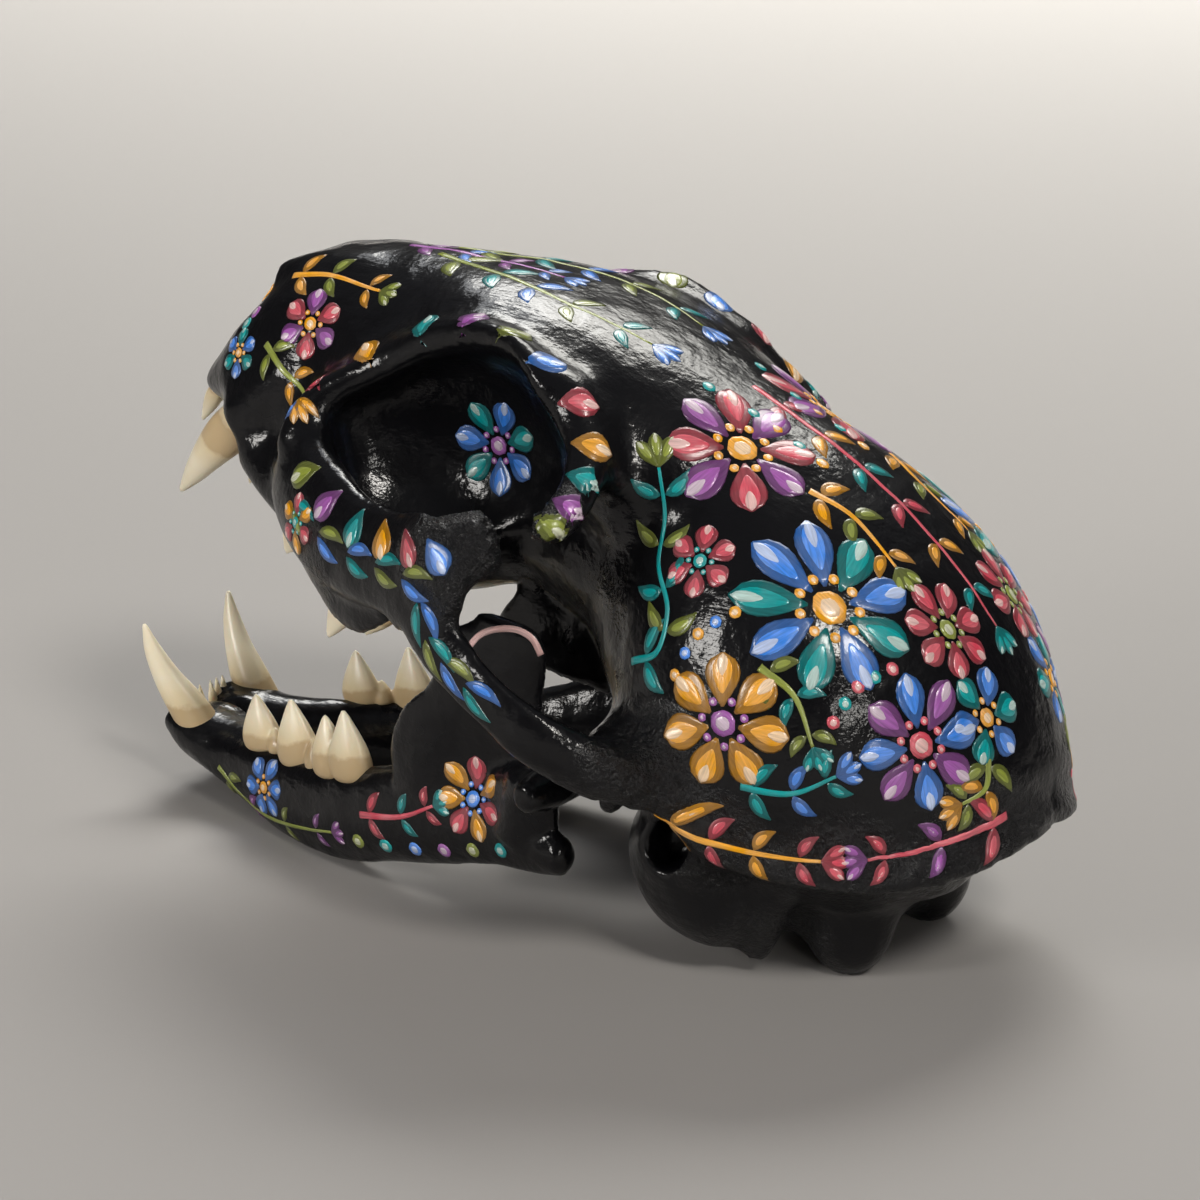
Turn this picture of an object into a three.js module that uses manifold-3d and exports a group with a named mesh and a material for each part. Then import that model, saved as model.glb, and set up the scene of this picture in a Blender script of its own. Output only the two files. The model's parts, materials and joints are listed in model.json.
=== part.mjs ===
// Skull of an adult domestic cat: cranium and both halves of the lower jaw, mouth open,
// resting on the two occipital condyles and on the lower border of the jaw.
// Row frame: +Z up, snout toward -Y, the animal's left toward +X, millimetres.
// Cranium frame used while building: x to the left, y rearward from the front of the upper
// incisors, z up from the rim of the upper tooth sockets.
// Jaw frame: x to the left, y rearward from the jaw joint, z up from the lower border.
import * as THREE from "three";
import { ParametricGeometry } from "three/addons/geometries/ParametricGeometry.js";
import { mergeVertices } from "three/addons/utils/BufferGeometryUtils.js";
import Module from "manifold-3d";

const wasm = await Module();
wasm.setup();

// Pose.
const CRANIUM_PITCH = 30.1;
const JAW_PITCH = 9.4;
const JOINT_HEIGHT = 13.6;
const JOINT_DEPTH = 61.7;
const JOINT_LEVEL = -0.4;
const JAW_JOINT_LEVEL = 9;
const JOINT_REAR = 8.89;

// Eye socket.
const ORBIT_CENTRE = [20.9, 32.0, 21.3];
const ORBIT_HALF_LONG = 16.6;
const ORBIT_HALF_WIDE = 11.6;
const ORBIT_DEPTH = 15.0;

// Thin cut between neighbouring bones and teeth.
const CUT = 0.3;
const CORONAL_Y = 51;
const ZYGOMATIC_FRONT_Y = 29;
const ZYGOMATIC_REAR_Y = 62.5;

const PAINT_BLACK = 0x0b0b0e;
const TOOTH_IVORY = 0xe4d0a5;

const radians = THREE.MathUtils.degToRad;
const vec = (x, y, z) => new THREE.Vector3(x, y, z);

// Braincase sections: [y, half width, top, bottom, widest level, squareness].
const BRAINCASE = [
  [46.5, 12.0, 36.6, 13.0, 26.0, 2.2],
  [50.0, 12.8, 37.2, 9.5, 24.5, 2.2],
  [54.0, 14.8, 37.7, 6.5, 22.5, 2.2],
  [58.5, 17.6, 38.0, 4.8, 20.5, 2.2],
  [63.0, 20.2, 38.1, 3.5, 18.5, 2.2],
  [68.0, 21.8, 37.8, 2.6, 17.0, 2.2],
  [74.0, 22.0, 36.9, 2.4, 16.5, 2.2],
  [80.0, 20.8, 35.2, 2.5, 15.5, 2.15],
  [85.0, 18.2, 33.0, 3.5, 15.0, 2.1],
  [90.0, 14.4, 29.8, 7.0, 16.0, 2.0],
  [94.0, 9.8, 26.6, 12.0, 18.5, 2.0],
];

// Muzzle sections, from the front of the upper jaw to the roof of the throat.
const MUZZLE = [
  [0.2, 3.8, 2.2, -1.6, 0.4, 2.2],
  [1.2, 6.0, 5.4, -1.7, 1.4, 2.3],
  [2.4, 7.8, 12.4, -1.2, 3.0, 2.2],
  [4.2, 9.4, 18.0, -0.6, 5.0, 2.1],
  [8.0, 11.0, 22.0, -0.3, 6.5, 2.1],
  [13.0, 11.6, 25.6, -0.2, 8.0, 2.1],
  [18.0, 13.0, 28.8, -0.2, 9.0, 2.2],
  [23.0, 14.6, 31.4, -0.3, 8.0, 2.3],
  [29.0, 15.8, 33.2, -0.5, 7.0, 2.4],
  [35.0, 14.8, 34.4, 0.2, 8.0, 2.4],
  [41.0, 9.4, 35.4, 5.0, 16.0, 2.1],
  [47.0, 11.6, 36.2, 8.0, 20.0, 2.2],
  [53.0, 13.4, 37.0, 8.0, 21.0, 2.2],
];

// Forehead sections, from the root of the nose to the coronal suture.
const FOREHEAD = [
  [18.0, 8.4, 28.6, 20.0, 23.0, 2.2],
  [23.0, 10.6, 31.6, 20.0, 26.0, 2.3],
  [28.0, 12.4, 33.8, 20.5, 28.0, 2.3],
  [33.0, 14.2, 35.3, 22.0, 29.0, 2.3],
  [38.0, 15.4, 36.3, 23.0, 29.0, 2.2],
  [42.5, 15.8, 36.8, 22.0, 28.5, 2.2],
  [47.0, 15.2, 37.1, 19.0, 28.0, 2.2],
  [53.0, 14.6, 37.6, 16.0, 27.0, 2.2],
];

// Removes seams and collapsed triangles and turns the surface outward.
function solid(geometry) {
  const bare = new THREE.BufferGeometry();
  bare.setAttribute("position", geometry.getAttribute("position"));
  bare.setIndex(geometry.getIndex());
  const merged = mergeVertices(bare, 1e-4);
  const at = merged.getAttribute("position");
  const index = merged.getIndex();
  const tris = [];
  let volume = 0;
  const p = [vec(0, 0, 0), vec(0, 0, 0), vec(0, 0, 0)];
  for (let i = 0; i < index.count; i += 3) {
    const t = [index.getX(i), index.getX(i + 1), index.getX(i + 2)];
    if (t[0] === t[1] || t[1] === t[2] || t[2] === t[0]) continue;
    tris.push(t);
    t.forEach((k, j) => p[j].fromBufferAttribute(at, k));
    volume += p[0].dot(p[1].clone().cross(p[2]));
  }
  if (volume < 0) tris.forEach((t) => t.reverse());
  const mesh = new wasm.Mesh({
    numProp: 3,
    vertProperties: new Float32Array(at.array),
    triVerts: new Uint32Array(tris.flat()),
  });
  return new wasm.Manifold(mesh);
}

// Closed body with one ring per row; the first and last rows shrink to a point.
function ringed(point, around, rows) {
  const place = (a, b, target) => {
    const row = Math.round(b * (rows + 1));
    const along = Math.min(Math.max((row - 1) / (rows - 1), 0), 1);
    const size = row === 0 || row === rows + 1 ? 0 : 1;
    target.copy(point(2 * Math.PI * (a % 1), along, size));
  };
  return solid(new ParametricGeometry(place, around, rows + 1));
}

const bend = (value, power) => Math.sign(value) * Math.abs(value) ** (2 / power);

// Body lofted through a table of sections.
function lofted(table, around, rows) {
  const ys = table.map((row) => row[0]);
  const rest = table.flatMap((row) => row.slice(1));
  const curve = new THREE.CubicInterpolant(ys, rest, 5);
  const point = (angle, along, size) => {
    const y = THREE.MathUtils.lerp(ys[0], ys[ys.length - 1], along);
    const [half, top, bottom, wide, power] = curve.evaluate(y);
    const rise = bend(Math.sin(angle), power) * size;
    const tall = rise > 0 ? top - wide : wide - bottom;
    return vec(half * bend(Math.cos(angle), power) * size, y, wide + tall * rise);
  };
  return ringed(point, around, rows);
}

// Rod along a smooth path. Each knot is [x, y, z, half thickness, half depth]; the depth
// lies along the given direction, as nearly as the path allows.
function rod(knots, depthWay, around = 10, rows = 12, blunt = 0.45) {
  const path = new THREE.CatmullRomCurve3(knots.map((k) => vec(k[0], k[1], k[2])));
  const sizes = new THREE.CubicInterpolant(
    knots.map((k, i) => i / (knots.length - 1)),
    knots.flatMap((k) => [k[3], k[4]]),
    2,
  );
  const point = (angle, along, size) => {
    const ahead = path.getTangent(along);
    const side = ahead.clone().cross(depthWay).normalize();
    const deep = side.clone().cross(ahead).normalize();
    const [thin, tall] = sizes.evaluate(along);
    const end = along === 0 || along === 1 ? blunt : 1;
    return path
      .getPoint(along)
      .addScaledVector(side, Math.cos(angle) * thin * end * size)
      .addScaledVector(deep, Math.sin(angle) * tall * end * size);
  };
  return ringed(point, around, rows);
}

// Egg with its own half sizes, tipped about the left-right axis, then turned about z.
function egg(centre, half, around = 14, rows = 9, tip = 0, turn = 0) {
  const shape = new THREE.SphereGeometry(1, around, rows);
  shape.scale(...half);
  shape.rotateX(radians(tip));
  shape.rotateZ(radians(turn));
  shape.translate(...centre);
  return solid(shape);
}

// Block given by its lowest and highest corners.
function block(low, high) {
  const size = high.map((value, i) => value - low[i]);
  const shape = new THREE.BoxGeometry(...size);
  shape.translate(...high.map((value, i) => (value + low[i]) / 2));
  return solid(shape);
}

const UP = vec(0, 0, 1);
const REAR = vec(0, 1, 0);
const FAR = 200;
const joined = (list) => list.reduce((sum, next) => sum.add(next));
const cutAway = (body, list) => list.reduce((left, next) => left.subtract(next), body);
const flip = (knots, side) => knots.map(([x, ...rest]) => [x * side, ...rest]);
const sides = (make) => [make(1), make(-1)].flat();

// Socket rim of the eye: a tilted oval facing outward, forward and up.
function orbitHollow(side) {
  const shape = new THREE.SphereGeometry(1, 12, 7);
  const long = vec(0.199, 0.753, 0.628);
  const across = vec(0.684, 0.352, -0.639);
  const outward = vec(0.702, -0.557, 0.445);
  shape.applyMatrix4(
    new THREE.Matrix4()
      .makeBasis(
        long.multiplyScalar(ORBIT_HALF_LONG),
        across.multiplyScalar(ORBIT_HALF_WIDE),
        outward.multiplyScalar(ORBIT_DEPTH),
      )
      .setPosition(...ORBIT_CENTRE),
  );
  shape.scale(side, 1, 1);
  return solid(shape);
}

// Upper canine, from the root inside the jaw to the tip; `grow` widens its socket.
function upperCanine(side, grow = 0) {
  const knots = [
    [9.5, 11.0, 7.5, 1.3, 1.6],
    [9.8, 9.6, 4.0, 1.75, 2.2],
    [9.9, 8.4, 0.6, 1.75, 2.3],
    [9.5, 7.3, -3.2, 1.35, 1.75],
    [9.0, 6.5, -6.6, 0.85, 1.1],
    [8.5, 5.8, -9.6, 0.2, 0.25],
  ];
  const wider = knots.map(([x, y, z, a, b]) => [x, y, z, a + grow, b + grow]);
  if (grow) wider[0][2] += grow;
  return rod(flip(wider, side), REAR, 6, 6, 0.7);
}

function lowerCanine(side, grow = 0) {
  const knots = [
    [4.4, -51.5, 7.4, 1.2, 1.5],
    [4.9, -53.6, 10.2, 1.9, 2.3],
    [5.3, -55.3, 13.4, 1.8, 2.2],
    [6.0, -56.9, 16.8, 1.3, 1.6],
    [6.6, -57.8, 20.0, 0.8, 1.0],
    [7.0, -58.1, 22.8, 0.2, 0.25],
  ];
  const wider = knots.map(([x, y, z, a, b]) => [x, y, z, a + grow, b + grow]);
  if (grow) wider[0][2] -= grow;
  return rod(flip(wider, side), REAR, 6, 6, 0.7);
}

// Shearing or holding tooth: a row of pointed cusps, each [x, y, tip level, half width,
// half length], rising from one base level.
function cheekTooth(side, base, cusps, faces = 6) {
  const points = cusps.map(([x, y, tip, wide, long]) => {
    const knots = [
      [x, y, base, wide, long],
      [x, y, tip, wide * 0.25, long * 0.25],
    ];
    return rod(flip(knots, side), REAR, faces, 2, 1);
  });
  return joined(points);
}

function zygomaticRod(side) {
  const bar = [
    [11.0, 17.0, 7.6, 2.0, 2.4],
    [16.2, 20.2, 7.9, 2.6, 4.4],
    [21.2, 26.8, 8.7, 2.4, 5.4],
    [24.6, 33.0, 10.8, 1.9, 5.0],
    [27.4, 38.2, 14.0, 1.5, 4.9],
    [29.5, 43.0, 16.3, 1.5, 6.0],
    [30.5, 46.6, 13.7, 1.4, 3.3],
    [31.1, 50.0, 13.0, 1.3, 2.8],
    [31.6, 54.6, 12.8, 1.3, 2.6],
    [30.6, 60.3, 12.4, 1.6, 2.8],
    [27.2, 65.6, 12.0, 2.2, 2.8],
    [22.8, 70.0, 12.0, 2.2, 2.4],
    [19.4, 75.4, 12.0, 2.0, 2.2],
  ];
  const lobe = [
    [18.6, 24.8, 5.8, 1.8, 3.4],
    [20.8, 29.8, 5.4, 1.6, 3.8],
    [23.2, 35.2, 6.2, 1.4, 3.8],
    [25.2, 39.2, 10.6, 1.2, 2.4],
  ];
  const hook = [
    [29.5, 42.4, 17.5, 1.5, 3.8],
    [28.9, 44.2, 21.0, 1.7, 3.6],
    [28.0, 46.2, 24.0, 1.5, 2.8],
  ];
  return joined([
    rod(flip(bar, side), UP, 8, 11),
    rod(flip(lobe, side), UP, 6, 5),
    rod(flip(hook, side), REAR, 8, 4),
  ]);
}

// Brow: upper rim of the orbit, ending in the process that nearly meets the cheekbone.
function brow(side) {
  const rim = [
    [18.6, 19.6, 9.4, 1.5, 1.8],
    [17.0, 18.4, 12.0, 1.5, 1.7],
    [15.2, 18.2, 14.6, 1.5, 1.6],
    [13.0, 21.0, 19.8, 1.3, 1.7],
    [12.6, 24.6, 25.8, 1.2, 1.8],
    [13.2, 28.8, 29.8, 1.2, 2.0],
    [14.4, 33.6, 32.2, 1.2, 2.2],
    [15.4, 38.6, 32.6, 1.4, 2.4],
    [16.3, 44.0, 31.4, 1.5, 2.4],
    [18.6, 46.9, 29.9, 1.5, 2.2],
    [21.2, 48.4, 28.2, 1.5, 2.1],
    [23.6, 48.8, 26.6, 1.4, 2.1],
    [25.4, 48.0, 24.9, 1.2, 1.8],
  ];
  return rod(flip(rim, side), REAR, 6, 10);
}

// Crest round the back of the skull, from the mastoid over the top to the midline.
function nuchalCrest(side) {
  const knots = [
    [21.4, 72.0, 10.2, 1.6, 1.8],
    [20.8, 77.0, 10.4, 1.6, 2.0],
    [19.4, 81.8, 12.0, 1.4, 2.1],
    [17.2, 86.2, 14.0, 1.3, 2.2],
    [14.4, 90.2, 16.2, 1.2, 2.2],
    [10.4, 93.4, 18.9, 1.2, 2.1],
    [5.4, 95.2, 21.5, 1.2, 1.9],
    [0.0, 95.8, 23.0, 1.2, 1.8],
  ];
  return rod(flip(knots, side), REAR, 6, 7);
}

function bulla(side, grow = 0) {
  const half = [6.4 + grow, 8.6 + grow, 7.0 + grow];
  const drum = egg([13.2 * side, 74.8, 2.6], half, 10, 7, -6, -8 * side);
  const mouth = [4.2 + grow, 5.6 + grow, 5.8 + grow];
  return drum.add(egg([16.4 * side, 73.4, 5.2], mouth, 8, 5));
}

const earHole = (side) =>
  rod(flip([[24, 73.0, 6.6, 2.3, 3.0], [15.5, 72.4, 5.2, 1.9, 2.5]], side), UP, 8, 3, 0.9);

// Left and right lower jaw in the jaw frame.
function jawHalf(side) {
  const body = [
    [3.6, -58.6, 12.4, 2.3, 1.4],
    [3.9, -55.0, 10.6, 3.5, 2.8],
    [4.3, -51.0, 8.9, 3.7, 3.3],
    [6.2, -46.5, 7.5, 2.9, 3.9],
    [8.6, -41.5, 6.1, 2.4, 4.5],
    [10.6, -36.0, 5.3, 2.4, 4.8],
    [12.4, -30.0, 5.3, 2.5, 4.9],
    [14.0, -24.0, 6.1, 2.4, 4.9],
    [15.6, -17.0, 7.0, 2.0, 5.1],
    [17.2, -9.5, 7.2, 1.7, 4.5],
    [18.5, -3.6, 5.4, 1.6, 2.7],
    [19.4, 0.8, 4.8, 1.5, 1.8],
  ];
  const blade = [
    [15.9, -11.6, 7.0, 1.8, 9.2],
    [16.6, -11.2, 12.0, 1.6, 9.2],
    [17.4, -8.4, 17.0, 1.3, 7.0],
    [18.2, -5.8, 22.0, 1.1, 5.6],
    [18.8, -3.6, 25.2, 1.0, 4.8],
    [19.0, -2.8, 27.6, 0.8, 3.2],
  ];
  const neck = [
    [17.4, -8.0, 9.5, 1.8, 3.2],
    [19.0, -2.8, 11.2, 2.0, 2.2],
    [21.2, 1.2, 12.2, 2.0, 1.8],
  ];
  const rear = [
    [18.6, -4.6, 5.6, 1.5, 3.6],
    [19.0, -3.4, 9.0, 1.5, 3.4],
    [19.4, -2.0, 12.4, 1.5, 2.8],
  ];
  const knuckle = [
    [16.0, 1.4, 12.2, 1.3, 1.5],
    [19.0, 1.7, 12.5, 1.9, 2.0],
    [23.0, 1.8, 12.7, 2.0, 2.0],
    [26.4, 1.4, 12.6, 1.3, 1.4],
  ];
  return joined([
    rod(flip(body, side), UP, 8, 12, 0.6),
    egg([1.7 * side, -54.6, 9.8], [2.5, 4.2, 3.3], 8, 5),
    rod(flip(blade, side), REAR, 8, 5, 0.6),
    rod(flip(neck, side), UP, 6, 3),
    rod(flip(rear, side), REAR, 6, 3),
    rod(flip(knuckle, side), UP, 8, 4, 0.6),
  ]);
}

const jawTeeth = (side) => [
  cheekTooth(side, 10.2, [
    [8.5, -43.2, 16.2, 1.3, 2.4],
    [9.1, -40.8, 12.9, 1.1, 1.2],
  ]),
  cheekTooth(side, 9.2, [
    [10.1, -37.4, 16.3, 1.4, 2.6],
    [10.9, -34.6, 12.6, 1.2, 1.3],
  ]),
  cheekTooth(side, 9.2, [
    [12.7, -31.2, 15.6, 1.5, 2.3],
    [13.7, -28.0, 16.5, 1.5, 2.5],
  ]),
  ...[0.9, 1.9, 2.9].map((x) =>
    cheekTooth(side, 10.5, [[x, -57.2, 14.9, 0.5, 0.7]], 4),
  ),
];

const upperTeeth = (side) => [
  cheekTooth(side, 2, [[11.8, 14.0, -1.0, 0.9, 0.9]], 4),
  cheekTooth(side, 2, [
    [13.0, 21.6, -3.4, 1.2, 2.2],
    [13.4, 24.0, -0.8, 1.0, 1.0],
  ]),
  cheekTooth(side, 2, [
    [13.6, 26.8, -2.8, 1.2, 1.4],
    [14.2, 30.4, -6.7, 1.4, 2.4],
    [14.8, 34.0, -3.0, 1.1, 2.2],
  ]),
  cheekTooth(side, 2, [[12.6, 35.6, -1.6, 1.2, 0.8]], 4),
  ...[0.85, 2.45, 4.3].map((x, i) =>
    cheekTooth(side, 0, [[x, 1.0 + i * 0.6, -3.9 - i * 0.3, 0.72, 0.8 + i * 0.1]], 4),
  ),
];

// Swelling over the root of the upper canine.
function canineRidge(side) {
  const knots = [
    [10.6, 12.0, 12.0, 1.6, 2.0],
    [10.3, 9.2, 2.5, 2.6, 3.0],
  ];
  return rod(flip(knots, side), REAR, 6, 3);
}

// Shelf that carries the jaw joint.
function jointShelf(side) {
  const knots = [
    [15.6, 62.8, 9.4, 2.8, 2.7],
    [26.0, 64.2, 10.4, 2.4, 2.5],
  ];
  return rod(flip(knots, side), UP, 6, 3);
}

// Peg behind the jaw joint.
function postglenoidPeg(side) {
  const knots = [
    [21.4, 65.6, 9.4, 2.2, 1.8],
    [20.6, 66.4, 5.2, 1.8, 0.9],
  ];
  return rod(flip(knots, side), REAR, 6, 3);
}

// Peg beside the condyle, behind the bulla.
function paracondylarPeg(side) {
  const knots = [
    [15.0, 81.0, 8.0, 2.6, 3.4],
    [13.4, 83.4, -1.6, 1.2, 1.6],
  ];
  return rod(flip(knots, side), REAR, 6, 3);
}

// Nasal bone, standing over the nose opening.
function nasalTip(side) {
  const knots = [
    [2.4, 1.9, 14.4, 2.2, 1.0],
    [2.6, 6.0, 18.9, 2.6, 1.2],
    [2.8, 12.0, 22.8, 3.0, 1.5],
  ];
  return rod(flip(knots, side), UP, 8, 4);
}

const condyle = (side) => egg([7.8 * side, 88.0, 4.5], [3.7, 4.4, 5.2], 10, 7, 20);

// Wing of bone beside the opening behind the palate.
function pterygoidWing(side) {
  const knots = [
    [6.2, 42.0, 6.0, 1.0, 3.4],
    [6.0, 47.0, 5.4, 1.0, 3.8],
    [6.0, 55.0, 8.5, 1.0, 4.0],
  ];
  return rod(flip(knots, side), UP, 8, 5);
}

// Ridge of bone that the cheek teeth stand in.
function alveolarRidge(side) {
  const knots = [
    [10.8, 11.5, 1.8, 1.7, 2.2],
    [12.8, 17.0, 1.8, 1.6, 2.3],
    [13.8, 23.0, 1.9, 1.7, 2.5],
    [14.4, 30.0, 2.2, 1.8, 2.8],
    [13.4, 36.6, 2.8, 1.7, 2.8],
  ];
  return rod(flip(knots, side), UP, 6, 5);
}

// Opening in the root of the cheekbone, below the eye socket.
function infraorbitalHole(side) {
  const knots = [
    [16.6, 15.5, 8.6, 1.5, 2.0],
    [17.0, 26.0, 10.4, 1.5, 2.0],
  ];
  return rod(flip(knots, side), UP, 6, 2);
}

const condyleBridge = egg([0, 86.0, 4.0], [6.5, 4.2, 3.4], 8, 5);
const templeHollow = (side) => egg([25.4 * side, 48.5, 13.5], [12.4, 14.0, 17.0], 10, 7);
const noseHollow = egg([0, 1.4, 10.0], [4.9, 9.5, 6.4], 10, 7, -12);
const throatHollow = egg([0, 45.0, 1.6], [4.4, 8.5, 5.4], 10, 7);
const foramenMagnum = egg([0, 93.5, 8.6], [5.9, 10.5, 5.2], 10, 8, -14);

// Cranium, before it is divided.
const core = cutAway(
  joined([lofted(MUZZLE, 14, 11), lofted(FOREHEAD, 12, 6), lofted(BRAINCASE, 16, 10)]),
  [...sides(orbitHollow), ...sides(templeHollow), noseHollow, throatHollow],
);
const cranium = joined([
  core,
  condyleBridge,
  ...sides(brow),
  ...sides(nuchalCrest),
  ...sides(nasalTip),
  ...sides(canineRidge),
  ...sides(jointShelf),
  ...sides(postglenoidPeg),
  ...sides(paracondylarPeg),
  ...sides(condyle),
  ...sides(pterygoidWing),
]);

const floorBlock = (matrix) => {
  const shape = new THREE.BoxGeometry(FAR, FAR, FAR);
  shape.translate(0, 0, -FAR / 2);
  shape.applyMatrix4(matrix.clone().invert());
  return solid(shape);
};
const hinge = (pitch, y, z) =>
  new THREE.Matrix4()
    .makeTranslation(0, JOINT_REAR, JOINT_HEIGHT)
    .multiply(new THREE.Matrix4().makeRotationX(radians(pitch)))
    .multiply(new THREE.Matrix4().makeTranslation(0, -y, -z));
const craniumPlace = hinge(-CRANIUM_PITCH, JOINT_DEPTH, JOINT_LEVEL);
const jawPlace = hinge(JAW_PITCH, 0, JAW_JOINT_LEVEL);

const arches = sides(zygomaticRod);
const archMiddle = block(
  [-FAR, ZYGOMATIC_FRONT_Y + CUT / 2, -FAR],
  [FAR, ZYGOMATIC_REAR_Y - CUT / 2, FAR],
);
const ahead = (y) => block([-FAR, -FAR, -FAR], [FAR, y - CUT / 2, FAR]);
const behind = (y) => block([-FAR, y + CUT / 2, -FAR], [FAR, FAR, FAR]);

const face = cutAway(
  joined([
    cranium.intersect(ahead(CORONAL_Y)),
    ...arches.map((arch) => arch.intersect(ahead(ZYGOMATIC_FRONT_Y))),
    ...sides(alveolarRidge),
    ...sides(upperTeeth),
  ]),
  [...sides(infraorbitalHole), ...sides((side) => upperCanine(side, CUT))],
);
const braincase = cutAway(
  cranium
    .intersect(behind(CORONAL_Y))
    .add(joined(arches.map((arch) => arch.intersect(behind(ZYGOMATIC_REAR_Y))))),
  [
    ...sides((side) => bulla(side, CUT)),
    foramenMagnum,
    floorBlock(craniumPlace),
  ],
);
const jaws = [1, -1].map((side) =>
  cutAway(
    joined([jawHalf(side), ...jawTeeth(side)]).intersect(
      block(
        side > 0 ? [CUT / 2, -FAR, -FAR] : [-FAR, -FAR, -FAR],
        side > 0 ? [FAR, FAR, FAR] : [-CUT / 2, FAR, FAR],
      ),
    ),
    [lowerCanine(side, CUT), floorBlock(jawPlace)],
  ),
);

const skull = new THREE.Group();
skull.name = "cat_skull";
function show(name, body, place, colour, gloss) {
  const { vertProperties, triVerts } = body.getMesh();
  const shape = new THREE.BufferGeometry();
  shape.setAttribute("position", new THREE.BufferAttribute(vertProperties, 3));
  shape.setIndex(new THREE.BufferAttribute(triVerts, 1));
  shape.applyMatrix4(place);
  const flat = shape.toNonIndexed();
  flat.computeVertexNormals();
  const look = new THREE.MeshStandardMaterial({ color: colour, roughness: gloss });
  const mesh = new THREE.Mesh(flat, look);
  mesh.name = name;
  skull.add(mesh);
}

show("braincase", braincase, craniumPlace, PAINT_BLACK, 0.3);
show("face", face, craniumPlace, PAINT_BLACK, 0.3);
["left", "right"].forEach((name, i) => {
  const side = i === 0 ? 1 : -1;
  const arch = arches[i].intersect(archMiddle);
  const drum = bulla(side).subtract(earHole(side));
  show(`zygomatic_arch_${name}`, arch, craniumPlace, PAINT_BLACK, 0.3);
  show(`tympanic_bulla_${name}`, drum, craniumPlace, PAINT_BLACK, 0.3);
  show(`mandible_${name}`, jaws[i], jawPlace, PAINT_BLACK, 0.3);
  show(`upper_canine_${name}`, upperCanine(side), craniumPlace, TOOTH_IVORY, 0.35);
  show(`lower_canine_${name}`, lowerCanine(side), jawPlace, TOOTH_IVORY, 0.35);
});

export default skull;
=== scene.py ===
"""Life-size painted cat skull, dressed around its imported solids."""

import json
import math

import bmesh
import bpy
import numpy as np
from mathutils import Matrix, Vector, noise
from mathutils.bvhtree import BVHTree

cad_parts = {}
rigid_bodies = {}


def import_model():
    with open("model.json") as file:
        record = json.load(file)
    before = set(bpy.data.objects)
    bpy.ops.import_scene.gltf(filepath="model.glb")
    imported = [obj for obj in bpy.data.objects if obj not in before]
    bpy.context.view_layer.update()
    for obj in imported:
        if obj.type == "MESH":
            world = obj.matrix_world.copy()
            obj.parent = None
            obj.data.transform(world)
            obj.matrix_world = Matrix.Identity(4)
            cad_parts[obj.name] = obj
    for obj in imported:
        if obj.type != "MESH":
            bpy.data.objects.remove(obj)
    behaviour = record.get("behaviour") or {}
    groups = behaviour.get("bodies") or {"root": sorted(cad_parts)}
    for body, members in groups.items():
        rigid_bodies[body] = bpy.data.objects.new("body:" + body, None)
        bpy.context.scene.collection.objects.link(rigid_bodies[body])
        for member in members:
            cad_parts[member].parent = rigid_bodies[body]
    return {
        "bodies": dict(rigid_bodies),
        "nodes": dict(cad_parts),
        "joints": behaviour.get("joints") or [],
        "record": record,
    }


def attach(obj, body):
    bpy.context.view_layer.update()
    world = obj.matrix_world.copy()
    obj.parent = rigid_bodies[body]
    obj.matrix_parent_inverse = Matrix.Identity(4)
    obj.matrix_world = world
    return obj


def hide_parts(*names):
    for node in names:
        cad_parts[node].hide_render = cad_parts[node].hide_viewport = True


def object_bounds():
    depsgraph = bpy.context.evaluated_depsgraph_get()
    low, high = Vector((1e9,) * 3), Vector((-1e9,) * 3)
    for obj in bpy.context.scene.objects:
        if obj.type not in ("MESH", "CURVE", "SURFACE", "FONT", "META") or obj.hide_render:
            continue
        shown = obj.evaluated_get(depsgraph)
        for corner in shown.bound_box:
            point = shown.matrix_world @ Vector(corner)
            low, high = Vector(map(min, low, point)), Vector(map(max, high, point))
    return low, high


bl_info = {
    "name": "Painted Cat Skull",
    "version": (1, 0, 0),
    "blender": (4, 5, 0),
    "location": "3D View > Sidebar > Skull",
    "description": "Builds a painted cat skull, its teeth, its ornament and a studio stage",
    "category": "Add Mesh",
}

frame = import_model()
CAD_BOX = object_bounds()

MM = 0.001
UP = Vector((0, 0, 1))
REAR = Vector((0, 1, 0))

# Jaw joint: its place in the cranium's own frame, in the jaw's, and behind the skull's middle.
# The cranium's frame starts at the incisors and the tooth-socket rim, all in millimetres.
JOINT_IN_CRANIUM = (0, 61.7, -0.4)
JOINT_IN_JAW = (0, 0, 9)
JOINT_REAR = 8.89

# Voxel edge while the cranium's big forms are joined, and fillet between them.
ROUGH_GRAIN = 0.6
FILLET = 2.2

# Sections of the braincase, front to back:
# [y, half width, top, bottom, widest level, squareness].
BRAINCASE = [
    [46.5, 12.0, 36.6, 13.0, 26.0, 2.2],
    [50.0, 12.8, 37.2, 9.5, 24.5, 2.2],
    [54.0, 14.8, 37.7, 6.5, 22.5, 2.2],
    [58.5, 17.6, 38.0, 4.8, 20.5, 2.2],
    [63.0, 20.2, 38.1, 3.5, 18.5, 2.2],
    [68.0, 21.8, 37.8, 2.6, 17.0, 2.2],
    [74.0, 22.0, 36.9, 2.4, 16.5, 2.2],
    [80.0, 20.8, 35.2, 2.5, 15.5, 2.15],
    [85.0, 18.2, 33.0, 3.5, 15.0, 2.1],
    [90.0, 14.4, 29.8, 7.0, 16.0, 2.0],
    [94.0, 9.8, 26.6, 12.0, 18.5, 2.0],
]

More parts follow.
